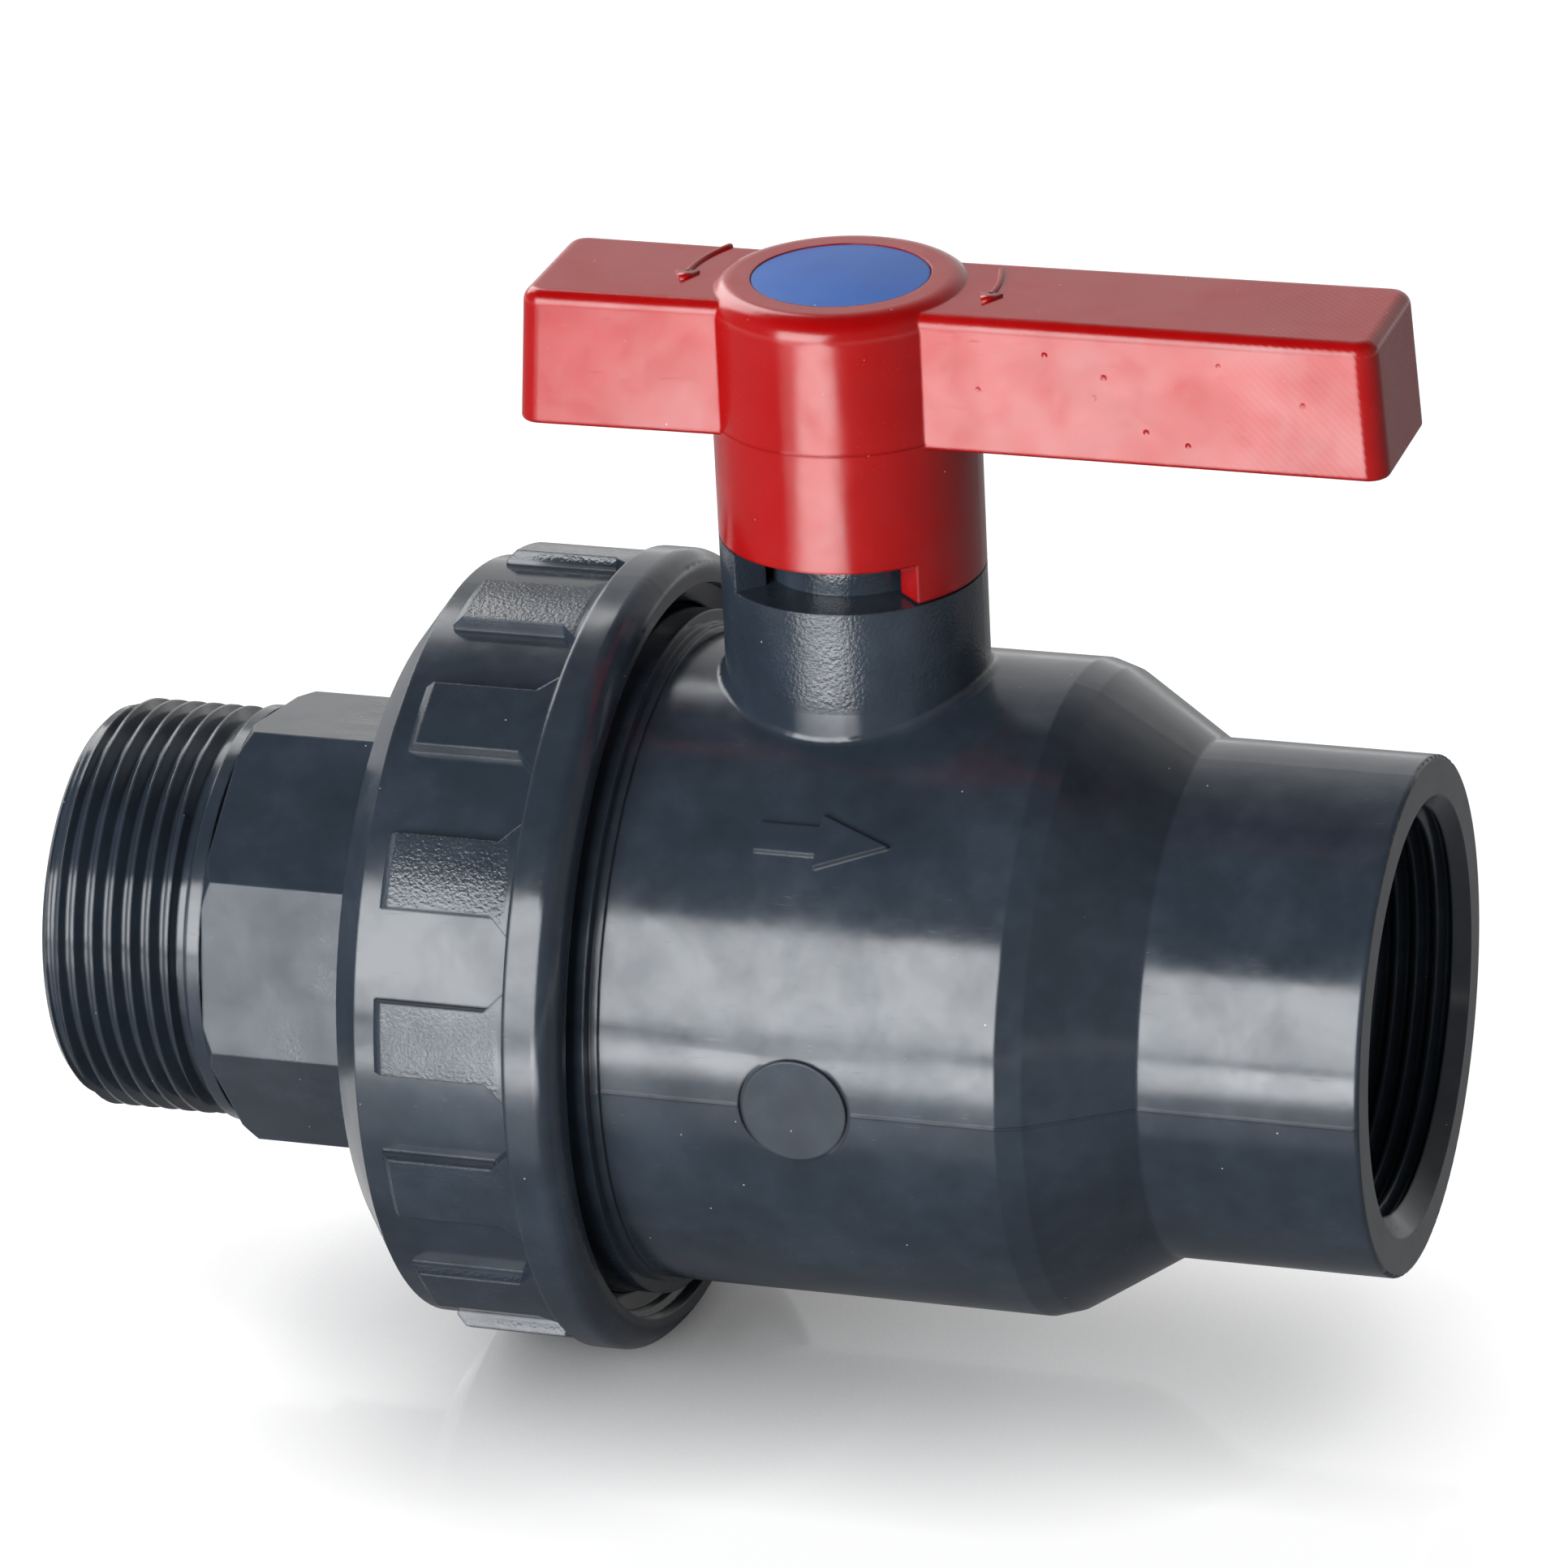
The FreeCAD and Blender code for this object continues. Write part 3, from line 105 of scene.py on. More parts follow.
# Injection-moulded plastic. The eye gets an even colour with faint flow clouds, a skin that is
# glossy where the mould was polished and pebbled where it was spark eroded, edges that catch a
# thin line of light, and a few hair scratches and dust specks from handling.
mouldedPlastic = {
    "cloudSize": 14.0,          # mm, soft clouds in colour and gloss
    "mottleSize": 3.2,          # mm, small patches
    "mottleShare": 0.5,         # of the clouds' strength
    "darkAt": 0.5,              # sum of both noises where each colour is pure
    "baseAt": 0.74,
    "lightAt": 0.98,
    "noiseLow": 0.3,            # a noise's usual lowest and highest value
    "noiseHigh": 0.7,
    "cloudGloss": 0.05,         # roughness up or down in a cloud, and in the mottle
    "mottleGloss": 0.03,
    "speckSpacing": 2.2,        # mm between places that may hold a speck of dust
    "speckEdge": 0.055,         # share of that spacing, outside and core of a speck
    "speckCore": 0.03,
    "speckRare": 0.82,          # share of the places that stay clean
    "speckColour": "#c9cfd2",
    "scratchSpacing": 2.6,      # mm, before the stretch
    "scratchStretch": (1.0, 14.0, 9.0),
    "scratchTurn": (0.5, 0.35, 0.6),
    "scratchFrom": 0.66,        # noise value where a scratch starts, and where it is full
    "scratchFull": 0.72,
    "scratchDull": 0.08,        # roughness it adds, real ones are finer than a pixel
    "filmSize": 9.0,            # mm, blotches of a thin dull film from the mould
    "filmFull": 0.34,           # noise value below which the film is full, and above which it is gone
    "filmGone": 0.6,
    "filmLow": 0.42,            # specular level inside a blotch and outside
    "filmHigh": 0.6,
    "waveSize": 7.0,            # mm, shrinkage waves
    "waveHeight": 0.045,        # mm
    "waveSkin": 0.4,            # how much finer ripples keep of the waves
    "pebbleSize": 0.42,         # mm, the coarse grain of the photo
    "edgeRadius": 0.35,         # mm, how far an edge looks rounded
}


def plasticColour(tree, place, given, clouds, mottle):
    # large clouds and small mottle between three near colours, and specks of dust
    both = addNode(tree, "Math", {"operation": "MULTIPLY_ADD", 1: given["mottleShare"]},
                   {0: mottle, 2: clouds})
    ramp = addNode(tree, "ValToRGB", links={"Fac": both})
    ramp.color_ramp.elements[0].position = given["darkAt"]
    ramp.color_ramp.elements[0].color = toLinear(given["dark"])
    ramp.color_ramp.elements[1].position = given["lightAt"]
    ramp.color_ramp.elements[1].color = toLinear(given["light"])
    middle = ramp.color_ramp.elements.new(given["baseAt"])
    middle.color = toLinear(given["base"])
    cells = addNode(tree, "TexVoronoi", {"Scale": noiseScale(given["speckSpacing"])}, {"Vector": place})
    core = addNode(tree, "MapRange", {"From Min": given["speckEdge"], "From Max": given["speckCore"]},
                   {"Value": cells.outputs["Distance"]})
    chance = addNode(tree, "SeparateColor", links={"Color": cells.outputs["Color"]})
    few = addNode(tree, "Math", {"operation": "GREATER_THAN", 1: given["speckRare"]},
                  {0: chance.outputs["Red"]})
    specks = addNode(tree, "Math", {"operation": "MULTIPLY"}, {0: core, 1: few})
    dusty = addNode(tree, "Mix", {"data_type": "RGBA", 7: toLinear(given["speckColour"])},
                    {0: specks, 6: ramp})
    return dusty.outputs[2]


def plasticRoughness(tree, place, given, clouds, mottle):
    # cloudy, and duller in hair scratches
    span = {"From Min": given["noiseLow"], "From Max": given["noiseHigh"]}
    low = given["roughness"] - given["cloudGloss"]
    high = given["roughness"] + given["cloudGloss"]
    patch = given["mottleGloss"]
    cloudy = addNode(tree, "MapRange", {**span, "To Min": low, "To Max": high}, {"Value": clouds})
    patchy = addNode(tree, "MapRange", {**span, "To Min": -patch, "To Max": patch}, {"Value": mottle})
    skin = addNode(tree, "Math", {"operation": "ADD"}, {0: cloudy, 1: patchy})
    streak = addNode(tree, "Mapping", {"Scale": given["scratchStretch"], "Rotation": given["scratchTurn"]},
                     {"Vector": place})
    hair = addNode(tree, "TexNoise",
                   {"Scale": noiseScale(given["scratchSpacing"]), "Detail": 2.0, "Distortion": 0.6},
                   {"Vector": streak})
    scratches = addNode(tree, "MapRange",
                        {"From Min": given["scratchFrom"], "From Max": given["scratchFull"],
                         "To Max": given["scratchDull"]}, {"Value": hair})
    return addNode(tree, "Math", {"operation": "ADD"}, {0: scratches, 1: skin})


def plasticRelief(tree, place, given, mask, marks):
    # heights in mm: long shrinkage waves, pebbles where the mask is, and the mould maker's marks
    wave = addNode(tree, "TexNoise",
                   {"Scale": noiseScale(given["waveSize"]), "Detail": 4.0, "Roughness": given["waveSkin"]},
                   {"Vector": place})
    height = addNode(tree, "Math", {"operation": "MULTIPLY", 1: given["waveHeight"]}, {0: wave})
    if mask:
        grain = addNode(tree, "TexNoise", {"Scale": noiseScale(given["pebbleSize"]), "Detail": 2.0},
                        {"Vector": place})
        pebbles = addNode(tree, "Math", {"operation": "MULTIPLY"}, {0: grain, 1: mask(tree, place)})
        height = addNode(tree, "Math", {"operation": "MULTIPLY_ADD", 1: given["pebble"]},
                         {0: pebbles, 2: height})
    if marks:
        height = addNode(tree, "Math", {"operation": "ADD"}, {0: height, 1: marks(tree, place)})
    rounded = addNode(tree, "Bevel", {"samples": 3, "Radius": given["edgeRadius"] * millimetre})
    return addNode(tree, "Bump", {"Distance": millimetre}, {"Height": height, "Normal": rounded})


def makeMoulded(name, finish, mask=None, marks=None):
    given = {**mouldedPlastic, **finish}
    material, tree, place = startMaterial(name)
    clouds = addNode(tree, "TexNoise",
                     {"Scale": noiseScale(given["cloudSize"]), "Detail": 3.0, "Roughness": 0.55},
                     {"Vector": place})
    mottle = addNode(tree, "TexNoise",
                     {"Scale": noiseScale(given["mottleSize"]), "Detail": 4.0, "Roughness": 0.6},
                     {"Vector": place})
    film = addNode(tree, "TexNoise",
                   {"Scale": noiseScale(given["filmSize"]), "Detail": 5.0, "Roughness": 0.6,
                    "Distortion": 0.3}, {"Vector": place})
    dulled = addNode(tree, "MapRange",
                     {"From Min": given["filmFull"], "From Max": given["filmGone"],
                      "To Min": given["filmLow"], "To Max": given["filmHigh"]}, {"Value": film})
    shader = addNode(tree, "BsdfPrincipled", {"IOR": given["ior"], "Metallic": 0.0}, {
        "Base Color": plasticColour(tree, place, given, clouds, mottle),
        "Roughness": plasticRoughness(tree, place, given, clouds, mottle),
        "Specular IOR Level": dulled,
        "Normal": plasticRelief(tree, place, given, mask, marks),
    })
    addNode(tree, "OutputMaterial", links={"Surface": shader})
    return material


# Where the mould was spark eroded, or the piece is worn, in mm.
grainZones = {
    "lugs": {"along": (-44.2, -29.5), "soft": 0.3, "radius": (44.3, 44.9)},     # about X, tops only
    "tower": {"along": (38.5, 56.0), "soft": 0.8, "radius": (16.8, 15.8)},      # about Z, up to the notch
    "octagon": {"along": (-64.0, -56.0), "soft": 2.5, "patchSize": 9.09, "patch": (0.42, 0.58)},
}


def roundZone(tree, place, axis, given):
    # a stretch along the axis, from the first radius, where it starts, to the second, where it is full
    parts = addNode(tree, "SeparateXYZ", links={"Vector": place})
    along = between(tree, parts.outputs[axis], *given["along"], given["soft"])
    start, full = (radius * millimetre for radius in given["radius"])
    near = addNode(tree, "MapRange", {"From Min": start, "From Max": full},
                   {"Value": radiusAbout(tree, parts, axis)})
    return addNode(tree, "Math", {"operation": "MULTIPLY"}, {0: near, 1: along})


def lugMask(tree, place):
    return roundZone(tree, place, "X", grainZones["lugs"])


def towerMask(tree, place):
    return roundZone(tree, place, "Z", grainZones["tower"])


def octagonMask(tree, place):
    # a worn patch in the middle of each flat
    given = grainZones["octagon"]
    parts = addNode(tree, "SeparateXYZ", links={"Vector": place})
    along = between(tree, parts.outputs["X"], *given["along"], given["soft"])
    patch = addNode(tree, "TexNoise", {"Scale": noiseScale(given["patchSize"]), "Detail": 2.0},
                    {"Vector": place})
    start, full = given["patch"]
    worn = addNode(tree, "MapRange", {"From Min": start, "From Max": full}, {"Value": patch})
    return addNode(tree, "Math", {"operation": "MULTIPLY"}, {0: along, 1: worn})


# Traces of the mould maker's tools in the handle, in mm: cutter lines near the long arm's end,
# and a few pits. The lines are drawn a little coarser than the real ones, so that they show.
handleMarks = {
    "lineSpacing": 1.0,
    "lineHeight": 0.008,
    "lineZone": (47.0, 64.0),   # from the stem
    "lineFade": 4.0,
    "pitSpacing": 3.8,
    "pitDepth": 0.12,
    "pitEdge": 0.1,             # share of the spacing, outside and floor of a pit
    "pitFloor": 0.02,
    "pitZone": (16.0, 58.0),    # from the stem
    "pitLevel": (69.5, 80.5),   # between the arm's lower and top edge
    "pitFade": 0.5,
}


def makeHandleMarks(tree, place):
    given = handleMarks
    parts = addNode(tree, "SeparateXYZ", links={"Vector": place})
    lines = addNode(tree, "TexWave",
                    {"wave_type": "BANDS", "bands_direction": "DIAGONAL", "Distortion": 0.4,
                     "Scale": bandScale(given["lineSpacing"], diagonalRate)}, {"Vector": place})
    zone = between(tree, parts.outputs["X"], *given["lineZone"], given["lineFade"])
    cut = addNode(tree, "Math", {"operation": "MULTIPLY"}, {0: lines.outputs["Fac"], 1: zone})
    cells = addNode(tree, "TexVoronoi", {"Scale": noiseScale(given["pitSpacing"])}, {"Vector": place})
    core = addNode(tree, "MapRange",
                   {"From Min": given["pitEdge"], "From Max": given["pitFloor"],
                    "To Max": -given["pitDepth"]}, {"Value": cells.outputs["Distance"]})
    uneven = addNode(tree, "SeparateColor", links={"Color": cells.outputs["Color"]})
    deep = addNode(tree, "Math", {"operation": "MULTIPLY"}, {0: core, 1: uneven.outputs["Red"]})
    along = between(tree, parts.outputs["X"], *given["pitZone"], given["pitFade"])
    upright = between(tree, parts.outputs["Z"], *given["pitLevel"], given["pitFade"])
    inside = addNode(tree, "Math", {"operation": "MULTIPLY"}, {0: along, 1: upright})
    pits = addNode(tree, "Math", {"operation": "MULTIPLY"}, {0: deep, 1: inside})
    return addNode(tree, "Math", {"operation": "MULTIPLY_ADD", 1: given["lineHeight"]}, {0: cut, 2: pits})


# PVC-U out of a polished mould: dark blue grey, with a clear gloss that long waves bend a little.
greyPvc = {"base": "#323b46", "light": "#3a4450", "dark": "#2c343e", "ior": 1.58}
bodyPlastic = makeMoulded("mouldedPvcBody", {**greyPvc, "roughness": 0.17, "pebble": 0.055}, mask=towerMask)
nutPlastic = makeMoulded("mouldedPvcNut", {**greyPvc, "roughness": 0.18, "pebble": 0.055}, mask=lugMask)
connectorPlastic = makeMoulded("mouldedPvcConnector", {**greyPvc, "roughness": 0.16, "pebble": 0.04},
                               mask=octagonMask)

# The same PVC-U from a plain mould: satin, so that its edges show more than its faces.
carrierPlastic = makeMoulded("mouldedPvcCarrier", {**greyPvc, "ior": 1.53, "roughness": 0.32})

# PVC-U that was polished after moulding: a lighter grey that mirrors the bore.
ballPlastic = makeMoulded("polishedPvcBall", {
    "base": "#41484f",
    "light": "#4a525a",
    "dark": "#394048",
    "ior": 1.53,
    "roughness": 0.2,
    "cloudGloss": 0.04,
})

# PVC-U with a plain moulded skin: a paler and duller grey.
stemPlastic = makeMoulded("mouldedPvcStem", {
    "base": "#454d55",
    "light": "#525b64",
    "dark": "#3b434a",
    "ior": 1.53,
    "roughness": 0.36,
})

# ABS from a polished mould: a deep red whose flat faces mirror the lamps and the table's painted reflection
# patch as one pale sheet.
handlePlastic = makeMoulded("mouldedAbsRed", {
    "base": "#b80406",
    "light": "#bd0608",
    "dark": "#b20305",
    "ior": 1.56,
    "roughness": 0.18,
    "speckColour": "#e9b3ab",
    "edgeRadius": 0.4,
}, marks=makeHandleMarks)

# ABS from a satin mould: an even mid blue with hardly any mirror image.
capPlastic = makeMoulded("mouldedAbsBlue", {
    "base": "#226bcc",
    "light": "#2c73d4",
    "dark": "#1f64c0",
    "ior": 1.42,
    "roughness": 0.42,
    "speckColour": "#dfe8f2",
    "edgeRadius": 0.4,
})

# PTFE, turned from rod: waxy white with a soft sheen and no mirror image.
seatPlastic = makeMoulded("turnedPtfeSeat", {
    "base": "#e9e8e2",
    "light": "#f3f2ee",
    "dark": "#dcdad2",
    "ior": 1.38,
    "roughness": 0.42,
    "speckColour": "#b8b4a8",
})

# EPDM rubber, moulded: near black and matt, with a broad dim highlight.
sealRubber = makeMoulded("mouldedEpdmSeal", {
    "base": "#1b1c1e",
    "light": "#242628",
    "dark": "#131415",
    "ior": 1.5,
    "roughness": 0.55,
    "cloudGloss": 0.06,
    "speckColour": "#8c8f92",
})
print("plastics made")

# Stainless steel, cold headed and then turned: a dull grey shine broken by fine rings about Z.
screwSteel = {
    "colour": "#b9bbbd",
    "shade": "#9da0a3",
    "ringSpacing": 0.25,        # mm, turned at about 0.1 and drawn coarser, so that it shows
    "ringHeight": 0.03,         # mm, and how much of it tilts the shine
    "ringStrength": 0.2,
    "polished": 0.26,           # roughness on a ring's crest and in its groove
    "dull": 0.4,
}


def makeSteel():
    given = screwSteel
    material, tree, place = startMaterial("turnedStainlessSteel")
    wave = addNode(tree, "TexWave",
                   {"wave_type": "RINGS", "rings_direction": "Z", "Distortion": 1.5, "Detail": 2.0,
                    "Scale": bandScale(given["ringSpacing"])}, {"Vector": place})
    rings = wave.outputs["Fac"]
    ramp = addNode(tree, "ValToRGB", links={"Fac": rings})
    ramp.color_ramp.elements[0].color = toLinear(given["shade"])
    ramp.color_ramp.elements[1].color = toLinear(given["colour"])
    rough = addNode(tree, "MapRange", {"To Min": given["polished"], "To Max": given["dull"]},
                    {"Value": rings})
    bump = addNode(tree, "Bump",
                   {"Distance": given["ringHeight"] * millimetre, "Strength": given["ringStrength"]},
                   {"Height": rings})
    shader = addNode(tree, "BsdfPrincipled", {"Metallic": 1.0},
                     {"Base Color": ramp, "Roughness": rough, "Normal": bump})
    addNode(tree, "OutputMaterial", links={"Surface": shader})
    return material


steel = makeSteel()

nodeMaterials = {
    "valve_body": bodyPlastic,
    "union_nut": nutPlastic,
    "end_connector": connectorPlastic,
    "seat_carrier": carrierPlastic,
    "ball": ballPlastic,
    "stem": stemPlastic,
    "handle": handlePlastic,
    "indicator_cap": capPlastic,
    "outlet_seat": seatPlastic,
    "inlet_seat": seatPlastic,
    "stem_thrust_ring": seatPlastic,
    "carrier_o_ring": sealRubber,
    "face_seal_o_ring": sealRubber,
    "inlet_seat_cushion_ring": sealRubber,
    "outlet_seat_cushion_ring": sealRubber,
    "stem_o_ring_lower": sealRubber,
    "stem_o_ring_upper": sealRubber,
    "handle_washer": steel,
    "handle_screw": steel,
}
for name, material in nodeMaterials.items():
    node = nodes[name]
    if not node.material_slots:
        node.data.materials.append(material)
    for slot in node.material_slots:
        slot.material = material
print("nodes dressed")

# Two raised arrows on the arms, each part of a turn round the hub, generic turning marks.
turnArrow = {
    "radius": 17.6,             # mm, from the stem to the middle of the bow
    "width": 0.8,
    "taper": 0.6,               # top of the bow, as a share of its width
    "height": 0.28,
    "sunk": 0.15,               # mm of its foot inside the arm
    "headLength": 2.6,
    "headWidth": 2.8,
    "headBack": 0.1,            # share of the head's length that overlaps the bow
    "level": 83.3,              # top of the arms, mm
    "steps": 18,
    "longArm": (21, -5),        # degrees round the stem, tail and tip
    "shortArm": (151, 182),
    "merge": 0.002,             # mm, points nearer than this are one
}


def makeTurnArrow(name, tail, tip):
    given = turnArrow
    half = given["width"] / 2 * millimetre
    crest = half * given["taper"]
    radius = given["radius"] * millimetre
    foot = (given["level"] - given["sunk"]) * millimetre
    top = (given["level"] + given["height"]) * millimetre
    shape = bmesh.new()
    # the bow, one section spun round the stem
    start = Matrix.Rotation(math.radians(tail), 3, "Z")
    section = [(radius - half, 0, foot), (radius + half, 0, foot), (radius + crest, 0, top),
               (radius - crest, 0, top)]
    face = shape.faces.new([shape.verts.new(start @ Vector(corner)) for corner in section])
    bmesh.ops.spin(shape, geom=[face] + list(face.edges) + list(face.verts), cent=(0, 0, 0), axis=(0, 0, 1),
                   angle=math.radians(tip - tail), steps=given["steps"], use_duplicate=False)
    # the head, a flat wedge that points on along the bow
    ahead = given["headLength"] * millimetre * (1 if tip > tail else -1)
    back = -ahead * given["headBack"]
    wide = given["headWidth"] / 2 * millimetre
    turned = Matrix.Rotation(math.radians(tip), 3, "Z")
    head = [(radius - wide, back, foot), (radius + wide, back, foot), (radius, ahead, foot)]
    wedge = shape.faces.new([shape.verts.new(turned @ Vector(corner)) for corner in head])
    lifted = bmesh.ops.extrude_face_region(shape, geom=[wedge])
    raised = [item for item in lifted["geom"] if isinstance(item, bmesh.types.BMVert)]
    bmesh.ops.translate(shape, verts=raised, vec=(0, 0, top - foot))
    bmesh.ops.remove_doubles(shape, verts=shape.verts, dist=given["merge"] * millimetre)
    bmesh.ops.recalc_face_normals(shape, faces=shape.faces)
    mesh = bpy.data.meshes.new(name)
    shape.to_mesh(mesh)
    shape.free()
    mesh.materials.append(handlePlastic)
    for face in mesh.polygons:
        face.use_smooth = True
    arrow = bpy.data.objects.new(name, mesh)
    bpy.context.scene.collection.objects.link(arrow)
    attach(arrow, "turning_set")


makeTurnArrow("long_arm_turn_arrow", *turnArrow["longArm"])
makeTurnArrow("short_arm_turn_arrow", *turnArrow["shortArm"])
print("marks made")

# A pale table top of polished laminate: it shows the valve's shadow and a faint mirror image. It also has a
# painted contact shadow under the nut, painted shade round the valve in reflections, and a painted
# reflection patch in front.
table = {
    "level": -46.35,            # mm, under the nut's rim
    "size": 6.0,                # metres
    "colour": "#a6a6a8",
    "shine": 0.08,
    "glow": 0.84,               # lifts the table to white in the picture
    "mirroredFrom": 0.5,        # metres from the valve, where a gloss begins to show that white; nearer, it stays unlit, a painted shade round the valve
    "mirroredFull": 1.5,
    # painted reflection: a patch of the table in front, where a white card would lie, glows for the valve's
    # gloss only, mm
    "paintedReflectionDeep": (-880.0, -205.0),
    "paintedReflectionFade": 30.0,
    "paintedReflectionWide": (-134.0, 55.0),
    "paintedReflectionSoft": 12.0,
    "paintedReflectionGlow": 5.6,
    "paintedContactShadowReach": 0.028,      # metres, painted contact shadow: within this reach of where the nut stands, the glow is darkened
}


def tableGlow(tree, place):
    # white for the camera and, further away, in a gloss. Round the valve the gloss sees painted shade, a
    # painted contact shadow darkens the glow where something stands, and a painted reflection patch in
    # front glows for the gloss only
    given = table
    seen = addNode(tree, "LightPath")
    parts = addNode(tree, "SeparateXYZ", links={"Vector": place})
    # painted reflection: a patch of the table in front glows, for glossy rays only
    wide = between(tree, parts.outputs["X"], *given["paintedReflectionWide"], given["paintedReflectionSoft"])
    deep = between(tree, parts.outputs["Y"], *given["paintedReflectionDeep"], given["paintedReflectionFade"])
    onPaintedReflection = addNode(tree, "Math", {"operation": "MULTIPLY"}, {0: wide, 1: deep})
    paintedReflection = addNode(tree, "Math", {"operation": "MULTIPLY", 1: given["paintedReflectionGlow"]}, {0: onPaintedReflection})
    paintedReflectionInGloss = addNode(tree, "Math", {"operation": "MULTIPLY"}, {0: seen.outputs["Is Glossy Ray"], 1: paintedReflection})
    bent = addNode(tree, "Math", {"operation": "MAXIMUM"},
                   {0: seen.outputs["Is Glossy Ray"], 1: seen.outputs["Is Transmission Ray"]})
    # painted shade round the valve: glossy rays see the white glow only further away
    away = addNode(tree, "VectorMath", {"operation": "LENGTH"}, {0: place}).outputs["Value"]
    far = addNode(tree, "MapRange", {"From Min": given["mirroredFrom"], "From Max": given["mirroredFull"]},
                  {"Value": away})
    farBent = addNode(tree, "Math", {"operation": "MULTIPLY"}, {0: bent, 1: far})
    white = addNode(tree, "Math", {"operation": "MAXIMUM"}, {0: seen.outputs["Is Camera Ray"], 1: farBent})
    strength = addNode(tree, "Math", {"operation": "MULTIPLY_ADD", 1: given["glow"]},
                       {0: white, 2: paintedReflectionInGloss})
    # painted contact shadow: the glow is darkened by occlusion where the nut stands
    paintedContactShadow = addNode(tree, "AmbientOcclusion", {"samples": 4, "Distance": given["paintedContactShadowReach"]})
    shaded = addNode(tree, "Math", {"operation": "MULTIPLY"}, {0: strength, 1: paintedContactShadow.outputs["AO"]})
    return addNode(tree, "Emission", {"Color": (1, 1, 1, 1)}, {"Strength": shaded})


def makeTable():
    given = table
    shape = bmesh.new()
    bmesh.ops.create_grid(shape, x_segments=1, y_segments=1, size=given["size"] / 2)
    bmesh.ops.translate(shape, verts=shape.verts, vec=(0, 0, given["level"] * millimetre))
    mesh = bpy.data.meshes.new("table")
    shape.to_mesh(mesh)
    shape.free()
    material, tree, place = startMaterial("paleTableTop")
    shader = addNode(tree, "BsdfPrincipled",
                     {"Base Color": toLinear(given["colour"]), "Roughness": given["shine"], "IOR": 1.5})
    both = addNode(tree, "AddShader", links={0: shader, 1: tableGlow(tree, place)})
    addNode(tree, "OutputMaterial", links={"Surface": both})
    mesh.materials.append(material)
    top = bpy.data.objects.new("table", mesh)
    bpy.context.scene.collection.objects.link(top)


makeTable()
print("table laid")

studio = {
    "wallDark": 0.22,           # low wall all round
    "wallBright": 0.8,          # and behind on the left
    "wallTurn": (-0.35, 0.94, 0.0),
    "wallFrom": 0.3,            # along that direction, where the bright part starts, and is full
    "wallFull": 0.95,
    "ceiling": 0.22,            # share of the wall's light above
    "ceilingFrom": 0.45,        # height of a direction where the wall ends, and the ceiling is full
    "ceilingFull": 0.85,
    # soft boxes: metres and watts, azimuth in degrees from -Y towards +X
    "softBox": {"size": (0.92, 0.80), "distance": 1.2, "azimuth": -18.0, "lift": 0.38, "aimLift": 0.133,
                "power": 16.5, "colour": (0.965, 0.985, 1.0)},
    "backBox": {"size": (0.8, 0.8), "distance": 1.05, "azimuth": -130.0, "lift": 0.72, "aimLift": 0.0,
                "power": 7.5, "colour": (1.0, 1.0, 1.0)},
}


def makeWorld():
    # a dim room with one bright wall, and white where the camera looks past the table
    given = studio
    world = bpy.data.worlds.new("studioWorld")
    world.use_nodes = True
    bpy.context.scene.world = world
    tree = world.node_tree
    tree.nodes.clear()
    direction = addNode(tree, "TexCoord").outputs["Generated"]
    parts = addNode(tree, "SeparateXYZ", links={"Vector": direction})
    facing = addNode(tree, "VectorMath", {"operation": "DOT_PRODUCT", 1: given["wallTurn"]}, {0: direction})
    wall = addNode(tree, "MapRange",
                   {"From Min": given["wallFrom"], "From Max": given["wallFull"],
                    "To Min": given["wallDark"], "To Max": given["wallBright"]},
                   {"Value": facing.outputs["Value"]})
    lift = addNode(tree, "MapRange",
                   {"From Min": given["ceilingFrom"], "From Max": given["ceilingFull"],
                    "To Min": 1.0, "To Max": given["ceiling"]},
                   {"Value": parts.outputs["Z"]})
    level = addNode(tree, "Math", {"operation": "MULTIPLY"}, {0: wall, 1: lift})
    seen = addNode(tree, "LightPath").outputs["Is Camera Ray"]
    shown = addNode(tree, "Math", {"operation": "MAXIMUM"}, {0: level, 1: seen})
    sky = addNode(tree, "Background", {"Color": (1, 1, 1, 1)}, {"Strength": shown})
    addNode(tree, "OutputWorld", links={"Surface": sky})


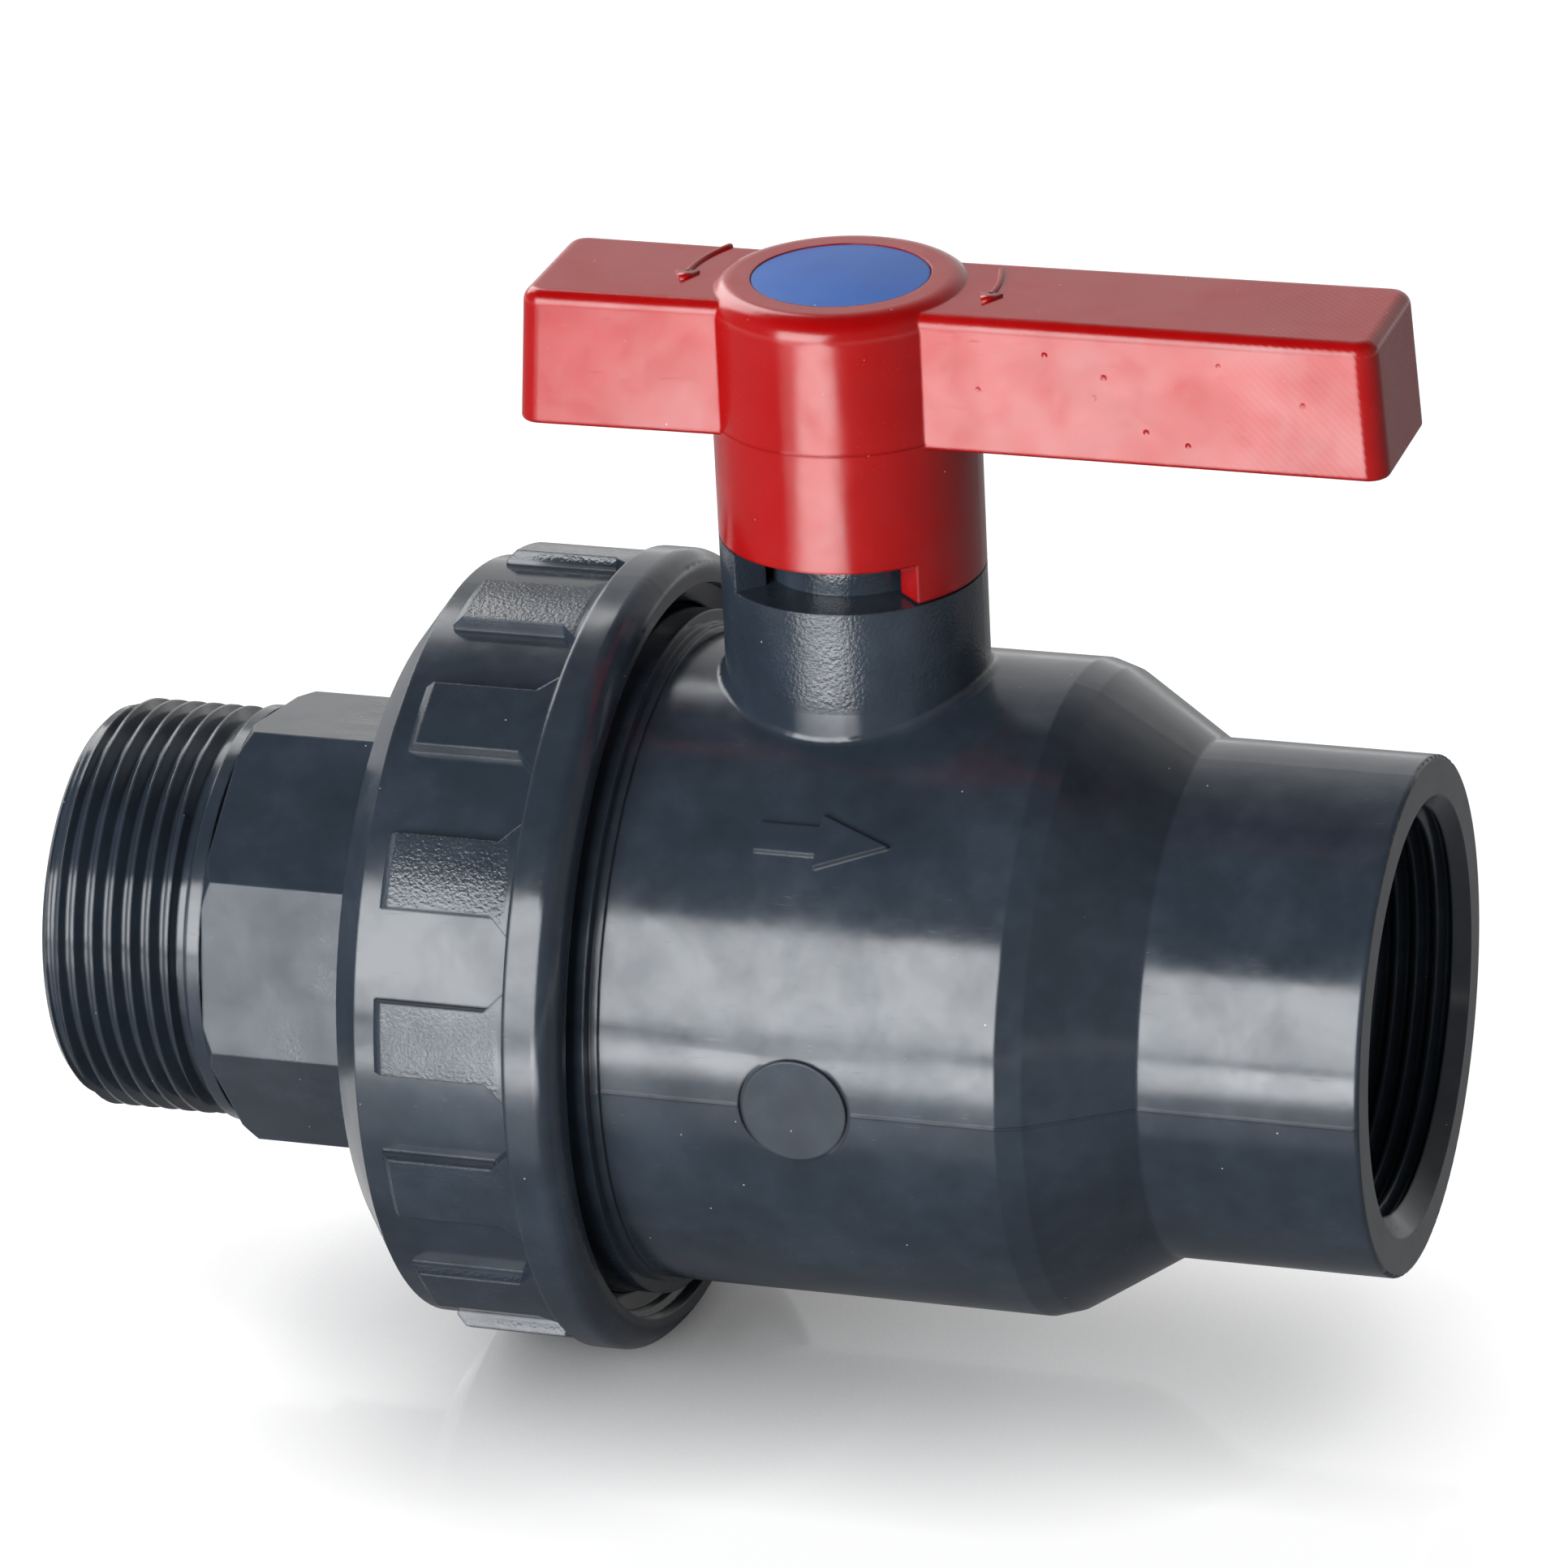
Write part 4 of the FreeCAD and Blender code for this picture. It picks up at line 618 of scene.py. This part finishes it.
def makeLamp(name):
    given = studio[name]
    lamp = bpy.data.lights.new(name, "AREA")
    lamp.shape = "RECTANGLE"
    lamp.size, lamp.size_y = given["size"]
    lamp.energy = given["power"]
    lamp.color = given["colour"]
    turn = math.radians(given["azimuth"])
    spot = Vector((math.sin(turn), -math.cos(turn), 0)) * given["distance"] + Vector((0, 0, given["lift"]))
    aim = Vector((0, 0, given["aimLift"])) - spot
    box = bpy.data.objects.new(name, lamp)
    box.location = spot
    box.rotation_euler = aim.to_track_quat("-Z", "Y").to_euler()
    box.visible_camera = False
    bpy.context.scene.collection.objects.link(box)


makeWorld()
makeLamp("softBox")
makeLamp("backBox")
print("studio lit")

view = {
    "place": (0.26021, -0.80222, 0.39417),
    "azimuth": 18.586,          # degrees, from -Y towards +X
    "elevation": 23.737,
    "roll": -2.925,
    "sensor": 36.0,             # mm
    "focalPixels": 10061.6,     # focal length measured in the photo's pixels
    "photoWidth": 1932,
    "nearest": 0.01,            # metres
    "farthest": 50.0,
}


def makeCamera():
    given = view
    turn, lift, roll = (math.radians(given[key]) for key in ("azimuth", "elevation", "roll"))
    back = Vector((math.sin(turn) * math.cos(lift), -math.cos(turn) * math.cos(lift), math.sin(lift)))
    right = Vector((math.cos(turn), math.sin(turn), 0))
    up = back.cross(right)
    rolledRight = right * math.cos(roll) + up * math.sin(roll)
    rolledUp = -right * math.sin(roll) + up * math.cos(roll)
    lens = bpy.data.cameras.new("camera")
    lens.sensor_fit = "HORIZONTAL"
    lens.sensor_width = given["sensor"]
    lens.lens = given["sensor"] * given["focalPixels"] / given["photoWidth"]
    lens.clip_start = given["nearest"]
    lens.clip_end = given["farthest"]
    stand = Matrix((rolledRight, rolledUp, back)).transposed().to_4x4()
    stand.translation = Vector(given["place"])
    camera = bpy.data.objects.new("camera", lens)
    camera.matrix_world = stand
    bpy.context.scene.collection.objects.link(camera)
    bpy.context.scene.camera = camera


makeCamera()
bpy.context.scene.view_settings.view_transform = "Standard"

print("scene ready")
